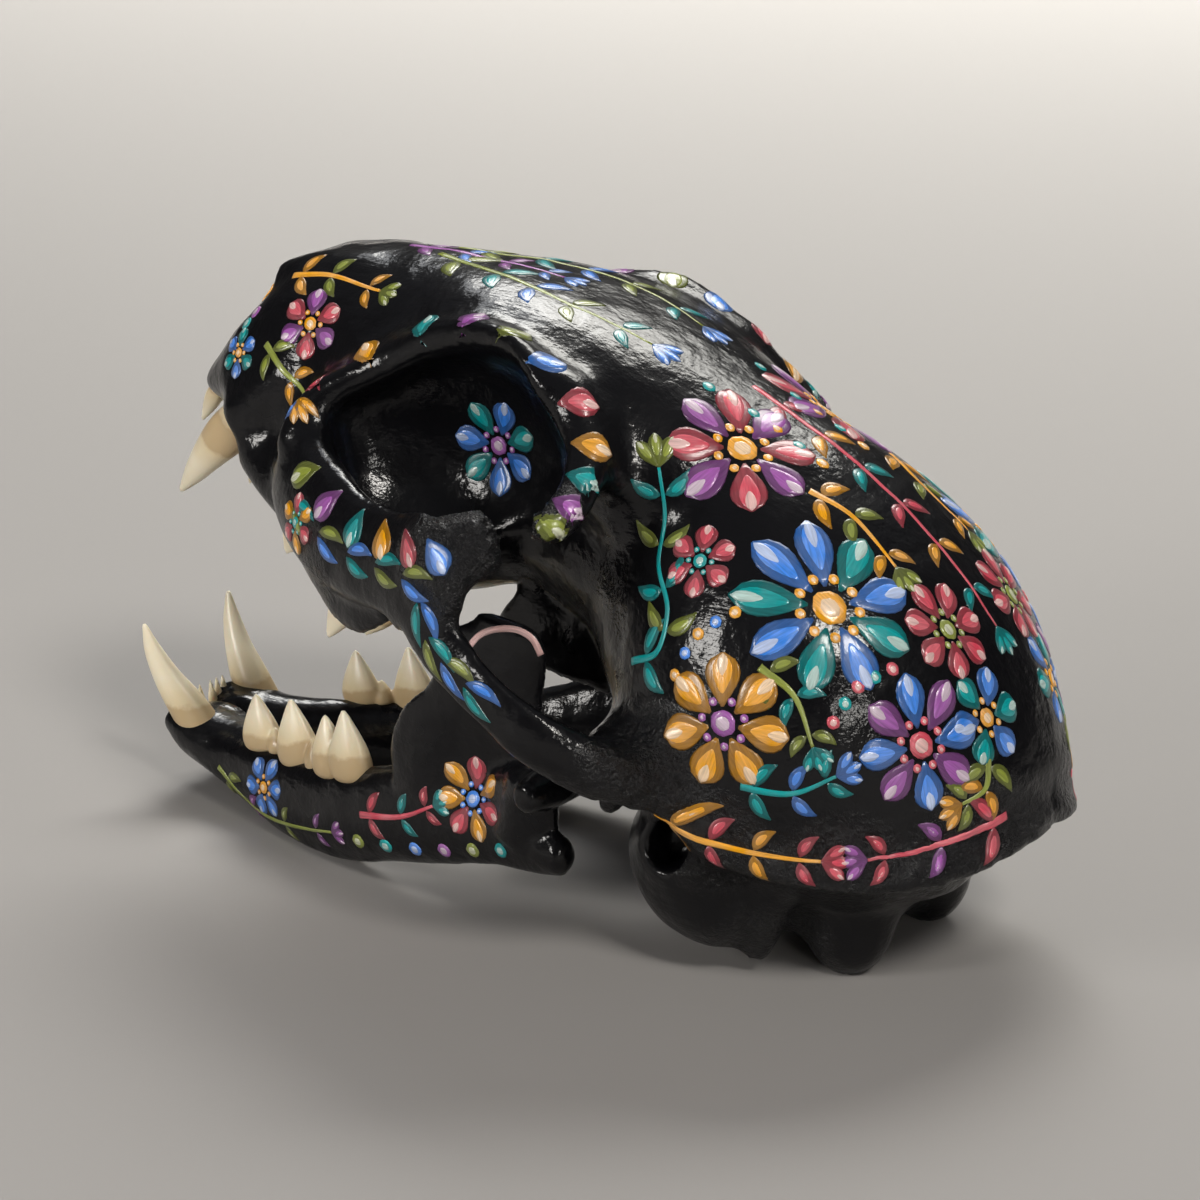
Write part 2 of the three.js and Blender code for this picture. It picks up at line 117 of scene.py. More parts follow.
# Sections of the muzzle, from the front of the upper jaw to the roof of the throat.
MUZZLE = [
    [0.2, 3.8, 2.2, -1.6, 0.4, 2.2],
    [1.2, 6.0, 5.4, -1.7, 1.4, 2.3],
    [2.4, 7.8, 12.4, -1.2, 3.0, 2.2],
    [4.2, 9.4, 18.0, -0.6, 5.0, 2.1],
    [8.0, 11.0, 22.0, -0.3, 6.5, 2.1],
    [13.0, 11.6, 25.6, -0.2, 8.0, 2.1],
    [18.0, 13.0, 28.8, -0.2, 9.0, 2.2],
    [23.0, 14.6, 31.4, -0.3, 8.0, 2.3],
    [29.0, 15.8, 33.2, -0.5, 7.0, 2.4],
    [35.0, 14.8, 34.4, 0.2, 8.0, 2.4],
    [41.0, 9.4, 35.4, 5.0, 16.0, 2.1],
    [47.0, 11.6, 36.2, 8.0, 20.0, 2.2],
    [53.0, 13.4, 37.0, 8.0, 21.0, 2.2],
]

# Sections of the forehead, from the root of the nose to the coronal suture.
FOREHEAD = [
    [18.0, 8.4, 28.6, 20.0, 23.0, 2.2],
    [23.0, 10.6, 31.6, 20.0, 26.0, 2.3],
    [28.0, 12.4, 33.8, 20.5, 28.0, 2.3],
    [33.0, 14.2, 35.3, 22.0, 29.0, 2.3],
    [38.0, 15.4, 36.3, 23.0, 29.0, 2.2],
    [42.5, 15.8, 36.8, 22.0, 28.5, 2.2],
    [47.0, 15.2, 37.1, 19.0, 28.0, 2.2],
    [53.0, 14.6, 37.6, 16.0, 27.0, 2.2],
]

# Left eye socket: centre, ways of its long and short axes and of its opening, half sizes.
ORBIT_CENTRE = (20.9, 32.0, 21.3)
ORBIT_LONG = Vector((0.199, 0.753, 0.628))
ORBIT_SHORT = Vector((0.684, 0.352, -0.639))
ORBIT_FACING = Vector((0.702, -0.557, 0.445))
ORBIT_HALF = (16.6, 11.6, 15.0)

# Tip of the process behind the left eye.
PROCESS_TIP = (25.2, 47.2, 25.6)
# Rugged places of the cranium's left side: centre and reach.
RUGGED_PLACES = [
    (PROCESS_TIP, 6),
    ((28.6, 45.0, 20.5), 7),
    ((24.0, 68.0, 12.0), 8),
    ((20.5, 77.0, 10.0), 7),
    ((17.0, 87.0, 13.5), 8),
    ((8.0, 95.0, 20.0), 9),
    ((13.5, 84.0, 1.0), 7),
    ((22.0, 30.0, 7.0), 5),
]

# Rods of bone, each knot [x, y, z, half thickness, half depth], on the animal's left.
CHEEKBONE = [
    [11.0, 17.0, 7.6, 2.0, 2.4],
    [16.2, 20.2, 7.9, 2.6, 4.4],
    [21.2, 26.8, 8.7, 2.4, 5.4],
    [24.6, 33.0, 10.8, 1.9, 5.0],
    [27.4, 38.2, 14.0, 1.5, 4.9],
    [29.5, 43.0, 16.3, 1.5, 6.0],
    [30.5, 46.6, 13.7, 1.4, 3.3],
    [31.1, 50.0, 13.0, 1.3, 2.8],
    [31.6, 54.6, 12.8, 1.3, 2.6],
    [30.6, 60.3, 12.4, 1.6, 2.8],
    [27.2, 65.6, 12.0, 2.2, 2.8],
    [22.8, 70.0, 12.0, 2.2, 2.4],
    [19.4, 75.4, 12.0, 2.0, 2.2],
]
CHEEK_LOBE = [
    [18.6, 24.8, 5.8, 1.8, 3.4],
    [20.8, 29.8, 5.4, 1.6, 3.8],
    [23.2, 35.2, 6.2, 1.4, 3.8],
    [25.2, 39.2, 10.6, 1.2, 2.4],
]
CHEEK_HOOK = [
    [29.5, 42.4, 17.5, 1.5, 3.8],
    [28.9, 44.2, 21.0, 1.7, 3.6],
    [28.0, 46.2, 24.0, 1.5, 2.8],
]
BROW = [
    [18.6, 19.6, 9.4, 1.5, 1.8],
    [17.0, 18.4, 12.0, 1.5, 1.7],
    [15.2, 18.2, 14.6, 1.5, 1.6],
    [13.0, 21.0, 19.8, 1.3, 1.7],
    [12.6, 24.6, 25.8, 1.2, 1.8],
    [13.2, 28.8, 29.8, 1.2, 2.0],
    [14.4, 33.6, 32.2, 1.2, 2.2],
    [15.4, 38.6, 32.6, 1.4, 2.4],
    [16.3, 44.0, 31.4, 1.5, 2.4],
    [18.6, 46.9, 29.9, 1.5, 2.2],
    [21.2, 48.4, 28.2, 1.5, 2.1],
    [23.6, 48.8, 26.6, 1.4, 2.1],
    [25.4, 48.0, 24.9, 1.2, 1.8],
]
NUCHAL_CREST = [
    [21.4, 72.0, 10.2, 1.6, 1.8],
    [20.8, 77.0, 10.4, 1.6, 2.0],
    [19.4, 81.8, 12.0, 1.4, 2.1],
    [17.2, 86.2, 14.0, 1.3, 2.2],
    [14.4, 90.2, 16.2, 1.2, 2.2],
    [10.4, 93.4, 18.9, 1.2, 2.1],
    [5.4, 95.2, 21.5, 1.2, 1.9],
    [0.0, 95.8, 23.0, 1.2, 1.8],
]
NASAL_TIP = [
    [2.4, 1.9, 14.4, 2.2, 1.0],
    [2.6, 6.0, 18.9, 2.6, 1.2],
    [2.8, 12.0, 22.8, 3.0, 1.5],
]
CANINE_RIDGE = [
    [10.6, 12.0, 12.0, 1.6, 2.0],
    [10.3, 9.2, 2.5, 2.6, 3.0],
]
JOINT_SHELF = [
    [15.6, 62.8, 9.4, 2.8, 2.7],
    [26.0, 64.2, 10.4, 2.4, 2.5],
]
POSTGLENOID_PEG = [
    [21.4, 65.6, 9.4, 2.2, 1.8],
    [20.6, 66.4, 5.2, 1.8, 0.9],
]
PARACONDYLAR_PEG = [
    [15.0, 81.0, 8.0, 2.6, 3.4],
    [13.4, 83.4, -1.6, 1.2, 1.6],
]
PTERYGOID_WING = [
    [6.2, 42.0, 6.0, 1.0, 3.4],
    [6.0, 47.0, 5.4, 1.0, 3.8],
    [6.0, 55.0, 8.5, 1.0, 4.0],
]
TOOTH_RIDGE = [
    [10.8, 11.5, 1.8, 1.7, 2.2],
    [12.8, 17.0, 1.8, 1.6, 2.3],
    [13.8, 23.0, 1.9, 1.7, 2.5],
    [14.4, 30.0, 2.2, 1.8, 2.8],
    [13.4, 36.6, 2.8, 1.7, 2.8],
]
INFRAORBITAL_HOLE = [
    [16.6, 15.5, 8.6, 1.5, 2.0],
    [17.0, 26.0, 10.4, 1.5, 2.0],
]
EAR_HOLE = [
    [24.0, 73.0, 6.6, 2.3, 3.0],
    [15.5, 72.4, 5.2, 1.9, 2.5],
]

# Rods of the left half of the lower jaw, in the jaw frame.
JAW_BODY = [
    [3.6, -58.6, 12.4, 2.3, 1.4],
    [3.9, -55.0, 10.6, 3.5, 2.8],
    [4.3, -51.0, 8.9, 3.7, 3.3],
    [6.2, -46.5, 7.5, 2.9, 3.9],
    [8.6, -41.5, 6.1, 2.4, 4.5],
    [10.6, -36.0, 5.3, 2.4, 4.8],
    [12.4, -30.0, 5.3, 2.5, 4.9],
    [14.0, -24.0, 6.1, 2.4, 4.9],
    [15.6, -17.0, 7.0, 2.0, 5.1],
    [17.2, -9.5, 7.2, 1.7, 4.5],
    [18.5, -3.6, 5.4, 1.6, 2.7],
    [19.4, 0.8, 4.8, 1.5, 1.8],
]
JAW_BLADE = [
    [15.9, -11.6, 7.0, 1.8, 9.2],
    [16.6, -11.2, 12.0, 1.6, 9.2],
    [17.4, -8.4, 17.0, 1.3, 7.0],
    [18.2, -5.8, 22.0, 1.1, 5.6],
    [18.8, -3.6, 25.2, 1.0, 4.8],
    [19.0, -2.8, 27.6, 0.8, 3.2],
]
JAW_NECK = [
    [17.4, -8.0, 9.5, 1.8, 3.2],
    [19.0, -2.8, 11.2, 2.0, 2.2],
    [21.2, 1.2, 12.2, 2.0, 1.8],
]
JAW_REAR = [
    [18.6, -4.6, 5.6, 1.5, 3.6],
    [19.0, -3.4, 9.0, 1.5, 3.4],
    [19.4, -2.0, 12.4, 1.5, 2.8],
]
JAW_KNUCKLE = [
    [16.0, 1.4, 12.2, 1.3, 1.5],
    [19.0, 1.7, 12.5, 1.9, 2.0],
    [23.0, 1.8, 12.7, 2.0, 2.0],
    [26.4, 1.4, 12.6, 1.3, 1.4],
]

# Canines, from the root inside the bone to the tip.
UPPER_CANINE = [
    [9.5, 11.0, 7.5, 1.3, 1.6],
    [9.8, 9.6, 4.0, 1.75, 2.2],
    [9.9, 8.4, 0.6, 1.75, 2.3],
    [9.5, 7.3, -3.2, 1.35, 1.75],
    [9.0, 6.5, -6.6, 0.85, 1.1],
    [8.5, 5.8, -9.6, 0.2, 0.25],
]
LOWER_CANINE = [
    [4.4, -51.5, 7.4, 1.2, 1.5],
    [4.9, -53.6, 10.2, 1.9, 2.3],
    [5.3, -55.3, 13.4, 1.8, 2.2],
    [6.0, -56.9, 16.8, 1.3, 1.6],
    [6.6, -57.8, 20.0, 0.8, 1.0],
    [7.0, -58.1, 22.8, 0.2, 0.25],
]

# Cheek teeth and incisors: base level, then cusps [x, y, tip level, half width, half length].
UPPER_TEETH = [
    (2.0, [[11.8, 14.0, -1.0, 0.9, 0.9]]),
    (2.0, [[13.0, 21.6, -3.4, 1.2, 2.2], [13.4, 24.0, -0.8, 1.0, 1.0]]),
    (2.0, [[13.6, 26.8, -2.8, 1.2, 1.4], [14.2, 30.4, -6.7, 1.4, 2.4],
           [14.8, 34.0, -3.0, 1.1, 2.2]]),
    (2.0, [[12.6, 35.6, -1.6, 1.2, 0.8]]),
    (0.0, [[0.85, 1.0, -3.9, 0.72, 0.8]]),
    (0.0, [[2.45, 1.6, -4.2, 0.72, 0.9]]),
    (0.0, [[4.3, 2.2, -4.5, 0.72, 1.0]]),
]
LOWER_TEETH = [
    (10.2, [[8.5, -43.2, 16.2, 1.3, 2.4], [9.1, -40.8, 12.9, 1.1, 1.2]]),
    (9.2, [[10.1, -37.4, 16.3, 1.4, 2.6], [10.9, -34.6, 12.6, 1.2, 1.3]]),
    (9.2, [[12.7, -31.2, 15.6, 1.5, 2.3], [13.7, -28.0, 16.5, 1.5, 2.5]]),
    (10.5, [[0.9, -57.2, 14.9, 0.5, 0.7]]),
    (10.5, [[1.9, -57.2, 14.9, 0.5, 0.7]]),
    (10.5, [[2.9, -57.2, 14.9, 0.5, 0.7]]),
]

# Ornament. Places on the cranium are (y, angle): how far back, and the angle over the
# horizontal round the long axis of the skull. Places on the jaw are (y, z).
# Flowers: place, radius, number of petals, paints of the petals, paint of the middle.
CRANIUM_FLOWERS = [
    ((72, 46), 7.8, 9, ("blue", "teal"), "ochre"),
    ((55, 66), 6.8, 8, ("purple", "rose"), "ochre"),
    ((71.5, 8), 6.2, 7, ("ochre",), "purple"),
    ((85.5, 36), 5.8, 8, ("purple", "blue"), "rose"),
    ((80, 69), 4.4, 7, ("rose",), "olive"),
    ((87.5, 62), 4.0, 6, ("teal", "blue"), "ochre"),
    ((60, 34), 3.5, 6, ("rose",), "teal"),
]
MUZZLE_FLOWERS = [
    ((11, 34), 3.6, 6, ("rose", "purple"), "ochre"),
    ((5.5, -8), 2.6, 6, ("blue", "teal"), "ochre"),
]
CHEEK_FLOWERS = [
    ((26, 7.5), 2.9, 6, ("ochre", "rose"), "teal"),
]
JAW_FLOWERS = [
    ((-10.5, 9.5), 4.2, 7, ("ochre", "rose"), "blue"),
    ((-42, 7), 3.3, 6, ("blue",), "ochre"),
]
# Sprigs: places the stem runs through, length of a leaf, leaf pairs, paints of the leaves.
CRANIUM_SPRIGS = [
    ([(60, -2), (62, 8), (60.5, 18), (56.5, 26), (54, 38), (51, 46)], 4.2, 5, ("teal", "olive")),
    ([(62.5, 68), (67, 71), (73, 69)], 3.6, 3, ("ochre", "olive")),
    ([(76, -2), (80, 4), (82, 14)], 3.4, 3, ("teal", "blue")),
    ([(90, 52), (91.5, 42), (91, 30)], 3.4, 3, ("olive", "ochre")),
    ([(71, 24), (75, 24), (79, 17)], 3.2, 3, ("olive", "teal")),
]
TOP_SPRIGS = [
    ([(16, 80), (24, 74), (32, 72), (41, 76)], 4.0, 5, ("olive", "teal", "blue")),
]
MIDDLE_SPRIGS = [
    ([(50, 90), (58, 90), (66, 90), (74, 90), (82, 90)], 3.8, 6, ("rose", "ochre", "teal")),
    ([(12, 90), (20, 90), (28, 90)], 3.2, 4, ("purple", "blue")),
]
MUZZLE_SPRIGS = [
    ([(5, 50), (9, 58), (15, 60)], 3.2, 3, ("ochre", "olive")),
    ([(8, 10), (13, 8), (17, 12)], 3.0, 3, ("olive", "ochre")),
]
JAW_SPRIGS = [
    ([(-50, 8), (-46, 4.5), (-38, 3.6), (-31, 4.0)], 2.8, 4, ("olive", "purple")),
    ([(-26, 6.5), (-20, 7.0), (-15.5, 8.5)], 3.0, 3, ("rose", "teal")),
]
# Line just under the top edge of the jaw's blade.
BLADE_EDGE = [(-7.2, 25.0), (-5.6, 26.3), (-3.6, 26.9), (-1.4, 26.8), (0.0, 25.9), (0.5, 24.3)]
# Dot chains: places the chain runs through, number of dots, radius, paints.
CRANIUM_DOTS = [
    ([(66, 30), (64.5, 20), (65, 8)], 5, 0.6, ("ochre", "blue")),
    ([(79.5, 46), (78.5, 36), (79, 25)], 5, 0.6, ("rose", "teal")),
    ([(48, 76), (54, 79), (61, 79)], 6, 0.6, ("teal", "ochre")),
]
MUZZLE_DOTS = [
    ([(2.5, 40), (4, 20), (4, 5)], 4, 0.7, ("teal", "ochre", "purple")),
]
JAW_DOTS = [
    ([(-27, 3.6), (-17, 3.8), (-7, 5.0)], 6, 0.8, ("olive", "teal", "blue", "purple")),
]


# Camera: azimuth, elevation and roll in degrees, place in metres, lens in millimetres.
CAMERA_TURNS = (122.58, 17.76, 0.78)
CAMERA_PLACE = (0.2834, 0.1822, 0.1358)
CAMERA_LENS = 108.75

# Distance from the skull, in metres, at which the floor starts to curve up.
FLAT_FLOOR = 2.2

# Soft lights: name, place, aim, size, power, width of the beam in degrees, colour.
LIGHTS = [
    ("key", (0.45, 0.8, 0.95), (0, 0, 0.03), 0.3, 0.95, 60, (1.0, 0.96, 0.9)),
    ("side", (0.5, 0.62, 0.22), (0, 0.02, 0.02), 0.14, 0.3, 120, (1.0, 0.97, 0.92)),
    ("front", (0.4, -0.2, 0.18), (0, -0.04, 0.02), 0.14, 0.4, 120, (1.0, 0.97, 0.93)),
    ("fill", (-0.6, -0.5, 0.9), (0, 0, 0.03), 0.5, 2.0, 180, (0.95, 0.97, 1.0)),
    ("back", (-1.15, -0.42, 1.1), (-1.1, -0.4, 0), 1.0, 24.0, 112, (1.0, 0.98, 0.92)),
    ("floor_near", (1.4, 0.9, 1.1), (1.4, 0.9, 0), 1.0, 14.0, 95, (1.0, 0.98, 0.94)),
    ("floor_left", (0.9, -1.4, 1.1), (0.9, -1.4, 0), 1.0, 14.0, 95, (1.0, 0.98, 0.94)),
    ("floor_right", (-0.6, 1.6, 1.1), (-0.6, 1.6, 0), 1.0, 14.0, 95, (1.0, 0.98, 0.94)),
]


# --- Sizes and colours a user would change -------------------------------------------------


class SkullSizes(bpy.types.PropertyGroup):
    """Pose and fineness of the skull."""

    cranium_pitch: bpy.props.FloatProperty(
        name="Cranium pitch",
        description="Turn of the cranium about the jaw joint, nose up",
        default=math.radians(30.1),
        subtype="ANGLE",
    )
    jaw_pitch: bpy.props.FloatProperty(
        name="Jaw pitch",
        description="Turn of the lower jaw about its joint",
        default=math.radians(9.4),
        subtype="ANGLE",
    )
    joint_height: bpy.props.FloatProperty(
        name="Joint height",
        description="Height of the jaw joint over the floor",
        default=13.6 * MM,
        unit="LENGTH",
    )
    bone_grain: bpy.props.FloatProperty(
        name="Bone grain",
        description="Edge of the faces that the bone is made of",
        default=0.5 * MM,
        unit="LENGTH",
    )
    tooth_grain: bpy.props.FloatProperty(
        name="Tooth grain",
        description="Edge of the faces that the cheek teeth are made of",
        default=0.2 * MM,
        unit="LENGTH",
    )


def colour(name, description, default):
    """Colour the user can change."""
    return bpy.props.FloatVectorProperty(
        name=name, description=description, default=default, size=len(default), subtype="COLOR"
    )


class SkullColours(bpy.types.PropertyGroup):
    """Colours of the bone's paint, the teeth, the floor and the ornament."""

    black: colour("Black", "Gloss black paint over the bone", (0.004, 0.004, 0.005, 1))
    ivory: colour("Ivory", "Enamel at the tips of the teeth", (0.93, 0.84, 0.64, 1))
    cream: colour("Cream", "Enamel halfway down the teeth", (0.80, 0.67, 0.43, 1))
    root: colour("Root", "Browner enamel near the gum line", (0.58, 0.43, 0.24, 1))
    floor: colour("Floor", "Plain pale studio floor", (0.33, 0.317, 0.308, 1))
    teal: colour("Teal", "Green-blue leaves and petals", (0.0, 0.35, 0.36))
    blue: colour("Blue", "Blue petals", (0.07, 0.27, 0.86))
    purple: colour("Purple", "Purple petals", (0.37, 0.11, 0.42))
    rose: colour("Rose", "Pink-red petals", (0.66, 0.09, 0.13))
    ochre: colour("Ochre", "Yellow petals and flower middles", (0.88, 0.4, 0.03))
    olive: colour("Olive", "Yellow-green leaves", (0.28, 0.33, 0.06))


def sizes():
    return bpy.context.scene.skull_sizes


def colours():
    return bpy.context.scene.skull_colours


# --- Smooth curves through the named tables -------------------------------------------------


def flow(knots, values, at):
    """Smooth curve through values at knots, read at the places given."""
    knots, values = np.asarray(knots, float), np.asarray(values, float)
    slope = np.gradient(values, knots, axis=0)
    i = np.clip(np.searchsorted(knots, at, side="right") - 1, 0, len(knots) - 2)
    step = knots[i + 1] - knots[i]
    t = ((at - knots[i]) / step)[:, None]
    step = step[:, None]
    near, far = values[i], values[i + 1]
    rise = (2 * t**3 - 3 * t**2 + 1) * near + (3 * t**2 - 2 * t**3) * far
    return rise + step * ((t**3 - 2 * t**2 + t) * slope[i] + (t**3 - t**2) * slope[i + 1])


def path_of(knots, along):
    """Points of a smooth path through the knots, with along from 0 to 1."""
    points = np.asarray(knots, float)[:, :3]
    spread = np.linalg.norm(np.diff(points, axis=0), axis=1) ** 0.5
    own = np.concatenate([[0], np.cumsum(spread)])
    even = np.linspace(0, 1, len(points))
    return flow(own, points, np.interp(along, even, own))


def unit(rows):
    return rows / np.maximum(np.linalg.norm(rows, axis=-1, keepdims=True), 1e-9)


# --- Bodies: each starts as a ball whose points are moved to their place ---------------------


def ball(bm, around, rows):
    """Adds a ball; returns its points, their angle round it, row along it and end factor."""
    made = bmesh.ops.create_uvsphere(bm, u_segments=around, v_segments=rows + 1, radius=1)
    points = made["verts"]
    co = np.array([v.co for v in points])
    row = np.round(np.arccos(np.clip(co[:, 2], -1, 1)) / math.pi * (rows + 1))
    along = np.clip((row - 1) / (rows - 1), 0, 1)
    size = np.where((row < 0.5) | (row > rows + 0.5), 0.0, 1.0)
    return points, np.arctan2(co[:, 1], co[:, 0]), along, size


def put(points, places):
    for point, place in zip(points, places):
        point.co = place


def bend(value, power):
    return np.sign(value) * np.abs(value) ** (2 / power)


def lofted(bm, table, around=72, rows=60):
    """Body lofted through a table of sections."""
    table = np.asarray(table, float)
    points, angle, along, size = ball(bm, around, rows)
    y = table[0, 0] + along * (table[-1, 0] - table[0, 0])
    half, top, bottom, wide, power = flow(table[:, 0], table[:, 1:], y).T
    rise = bend(np.sin(angle), power) * size
    tall = np.where(rise > 0, top - wide, wide - bottom)
    put(points, np.stack([half * bend(np.cos(angle), power) * size, y, wide + tall * rise], 1))


def rod(bm, knots, deep_way, side=1, around=20, rows=40, blunt=0.45):
    """Rod along a smooth path, on one side of the skull."""
    knots = np.asarray(knots, float) * [side, 1, 1, 1, 1]
    points, angle, along, size = ball(bm, around, rows)
    step = 1e-3
    centre = path_of(knots, along)
    ahead = path_of(knots, np.minimum(along + step, 1)) - path_of(
        knots, np.maximum(along - step, 0)
    )
    across = unit(np.cross(ahead, deep_way))
    deep = unit(np.cross(across, ahead))
    even = np.linspace(0, 1, len(knots))
    thin, tall = flow(even, knots[:, 3:], along).T
    end = np.where((along <= 0) | (along >= 1), blunt, 1.0) * size
    reach = across * (np.cos(angle) * thin * end)[:, None]
    reach += deep * (np.sin(angle) * tall * end)[:, None]
    put(points, centre + reach)


def egg(bm, centre, half, tip=0.0, turn=0.0, around=40, rows=24):
    """Egg with its own half sizes, tipped about the left-right axis, then turned about z."""
    place = Matrix.Translation(centre) @ Matrix.Rotation(math.radians(turn), 4, "Z")
    place = place @ Matrix.Rotation(math.radians(tip), 4, "X") @ Matrix.Diagonal((*half, 1))
    bmesh.ops.create_uvsphere(bm, u_segments=around, v_segments=rows, radius=1, matrix=place)


def eye_socket(bm, side):
    """Tilted oval of the eye socket, facing outward, forward and up."""
    ways = (ORBIT_LONG, ORBIT_SHORT, ORBIT_FACING)
    axes = Matrix([way * half for way, half in zip(ways, ORBIT_HALF)]).transposed()
    place = Matrix.Translation(ORBIT_CENTRE) @ axes.to_4x4()
    place = Matrix.Diagonal((side, 1, 1, 1)) @ place
    bmesh.ops.create_uvsphere(bm, u_segments=56, v_segments=32, radius=1, matrix=place)


def cusps(bm, base, points, side):
    """Tooth of pointed cusps, swollen just above the gum line and drawn out to its tips."""
    level = np.linspace(0, 1, 6)
    swell = np.array([0.84, 1.0, 0.92, 0.7, 0.42, 0.12])
    for x, y, tip, wide, long in points:
        knots = [
            [x, y, base + (tip - base) * h, wide * s, long * s] for h, s in zip(level, swell)
        ]
        rod(bm, knots, REAR, side, around=20, rows=16, blunt=0.8)


# --- Objects ---------------------------------------------------------------------------------


def as_object(bm, name):
    bmesh.ops.recalc_face_normals(bm, faces=bm.faces)
    mesh = bpy.data.meshes.new(name)
    bm.to_mesh(mesh)
    bm.free()
    made = bpy.data.objects.new(name, mesh)
    bpy.context.scene.collection.objects.link(made)
    return made


def settle(piece):
    """Applies the piece's modifiers to its mesh."""
    graph = bpy.context.evaluated_depsgraph_get()
    mesh = bpy.data.meshes.new_from_object(piece.evaluated_get(graph))
    old = piece.data
    piece.modifiers.clear()
    piece.data = mesh
    mesh.name = piece.name
    bpy.data.meshes.remove(old)


def melt(piece, grain):
    """Makes one skin of all the bodies in a piece."""
    skin = piece.modifiers.new("skin", "REMESH")
    skin.mode = "VOXEL"
    skin.voxel_size = grain
    skin.adaptivity = 0
    settle(piece)


def carve(piece, bm):
    """Cuts the bodies in bm out of a piece."""
    tool = as_object(bm, "cutter")
    cut = piece.modifiers.new("cut", "BOOLEAN")
    cut.operation = "DIFFERENCE"
    cut.solver = "MANIFOLD"
    cut.object = tool
    settle(piece)
    bpy.data.objects.remove(tool)


def add_to(piece, bm):
    """Adds the bodies in bm to a piece's mesh."""
    bmesh.ops.recalc_face_normals(bm, faces=bm.faces)
    bm.from_mesh(piece.data)
    bm.to_mesh(piece.data)
    bm.free()


def swell(piece, by, grain):
    """Moves the whole skin out, or in where by is negative, and skins it again."""
    move = piece.modifiers.new("swell", "DISPLACE")
    move.strength = by
    move.mid_level = 0
    melt(piece, grain)


def fill_creases(piece, radius, grain):
    """Rounds the inner creases between joined bodies to a fillet of that radius."""
    swell(piece, radius, grain)
    swell(piece, -radius, grain)


def soothe(piece, rounds):
    """Evens the skin, so that joined bodies flow into each other."""
    bm = bmesh.new()
    bm.from_mesh(piece.data)
    for _ in range(rounds):
        bmesh.ops.smooth_vert(
            bm, verts=bm.verts, factor=0.5, use_axis_x=True, use_axis_y=True, use_axis_z=True
        )
    bm.to_mesh(piece.data)
    bm.free()


def points_of(piece):
    co = np.empty(len(piece.data.vertices) * 3, np.float32)
    piece.data.vertices.foreach_get("co", co)
    return co.reshape(-1, 3).astype(float)


def normals_of(piece):
    out = np.empty(len(piece.data.vertices) * 3, np.float32)
    piece.data.vertices.foreach_get("normal", out)
    return out.reshape(-1, 3).astype(float)


def set_points(piece, co):
    piece.data.vertices.foreach_set("co", co.astype(np.float32).ravel())
    piece.data.update()


def cranium_place():
    s = sizes()
    hinge = Matrix.Translation((0, JOINT_REAR, s.joint_height / MM))
    turn = Matrix.Rotation(-s.cranium_pitch, 4, "X")
    return Matrix.Scale(MM, 4) @ hinge @ turn @ Matrix.Translation(-Vector(JOINT_IN_CRANIUM))


def jaw_place():
    s = sizes()
    hinge = Matrix.Translation((0, JOINT_REAR, s.joint_height / MM))
    turn = Matrix.Rotation(s.jaw_pitch, 4, "X")
    return Matrix.Scale(MM, 4) @ hinge @ turn @ Matrix.Translation(-Vector(JOINT_IN_JAW))


def keep_in_box(piece):
    """Trims what stands out of the solids' own box, which also flattens the resting points."""
    low, high = (np.array(c) for c in CAD_BOX)
    set_points(piece, np.clip(points_of(piece), low, high))


def finish_piece(piece, place, material, nodes=()):
    piece.data.transform(place)
    keep_in_box(piece)
    piece.data.shade_smooth()
    piece.data.materials.clear()
    piece.data.materials.append(material)
    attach(piece, "root")
    if nodes:
        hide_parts(*nodes)
    return piece


# --- Sculpting -------------------------------------------------------------------------------


def press(co, normal, centre, reach, depth, side, facing):
    """Pushes in the skin round a centre, where it faces one way."""
    centre = np.array(centre, float) * [side, 1, 1]
    away = (co - centre) / np.array(reach, float)
    facing = np.array(facing, float) * [side, 1, 1]
    near = np.clip(1 - (away**2).sum(1), 0, 1) ** 2
    near *= np.clip(normal @ unit(facing), 0, 1)
    return co - normal * (near * depth)[:, None]


def rough(co, normal, scale, height, seed=0.0):
    """Uneven thick paint and bone under it."""
    shift = Vector((seed, seed * 0.7, seed * 1.3))
    bump = np.array([noise.noise(Vector(p) * scale + shift) for p in co])
    return co + normal * (bump * height)[:, None]


def pebble(co, normal, centre, reach, height, side, grain):
    """Knobbly bone round a centre."""
    centre = np.array(centre, float) * [side, 1, 1]
    near = np.clip(1 - (((co - centre) / reach) ** 2).sum(1), 0, 1)
    out = np.zeros(len(co))
    for i in np.flatnonzero(near > 0):
        out[i] = noise.noise(Vector(co[i]) * grain) * near[i]
    return co + normal * (out * height)[:, None]


# --- Materials -------------------------------------------------------------------------------


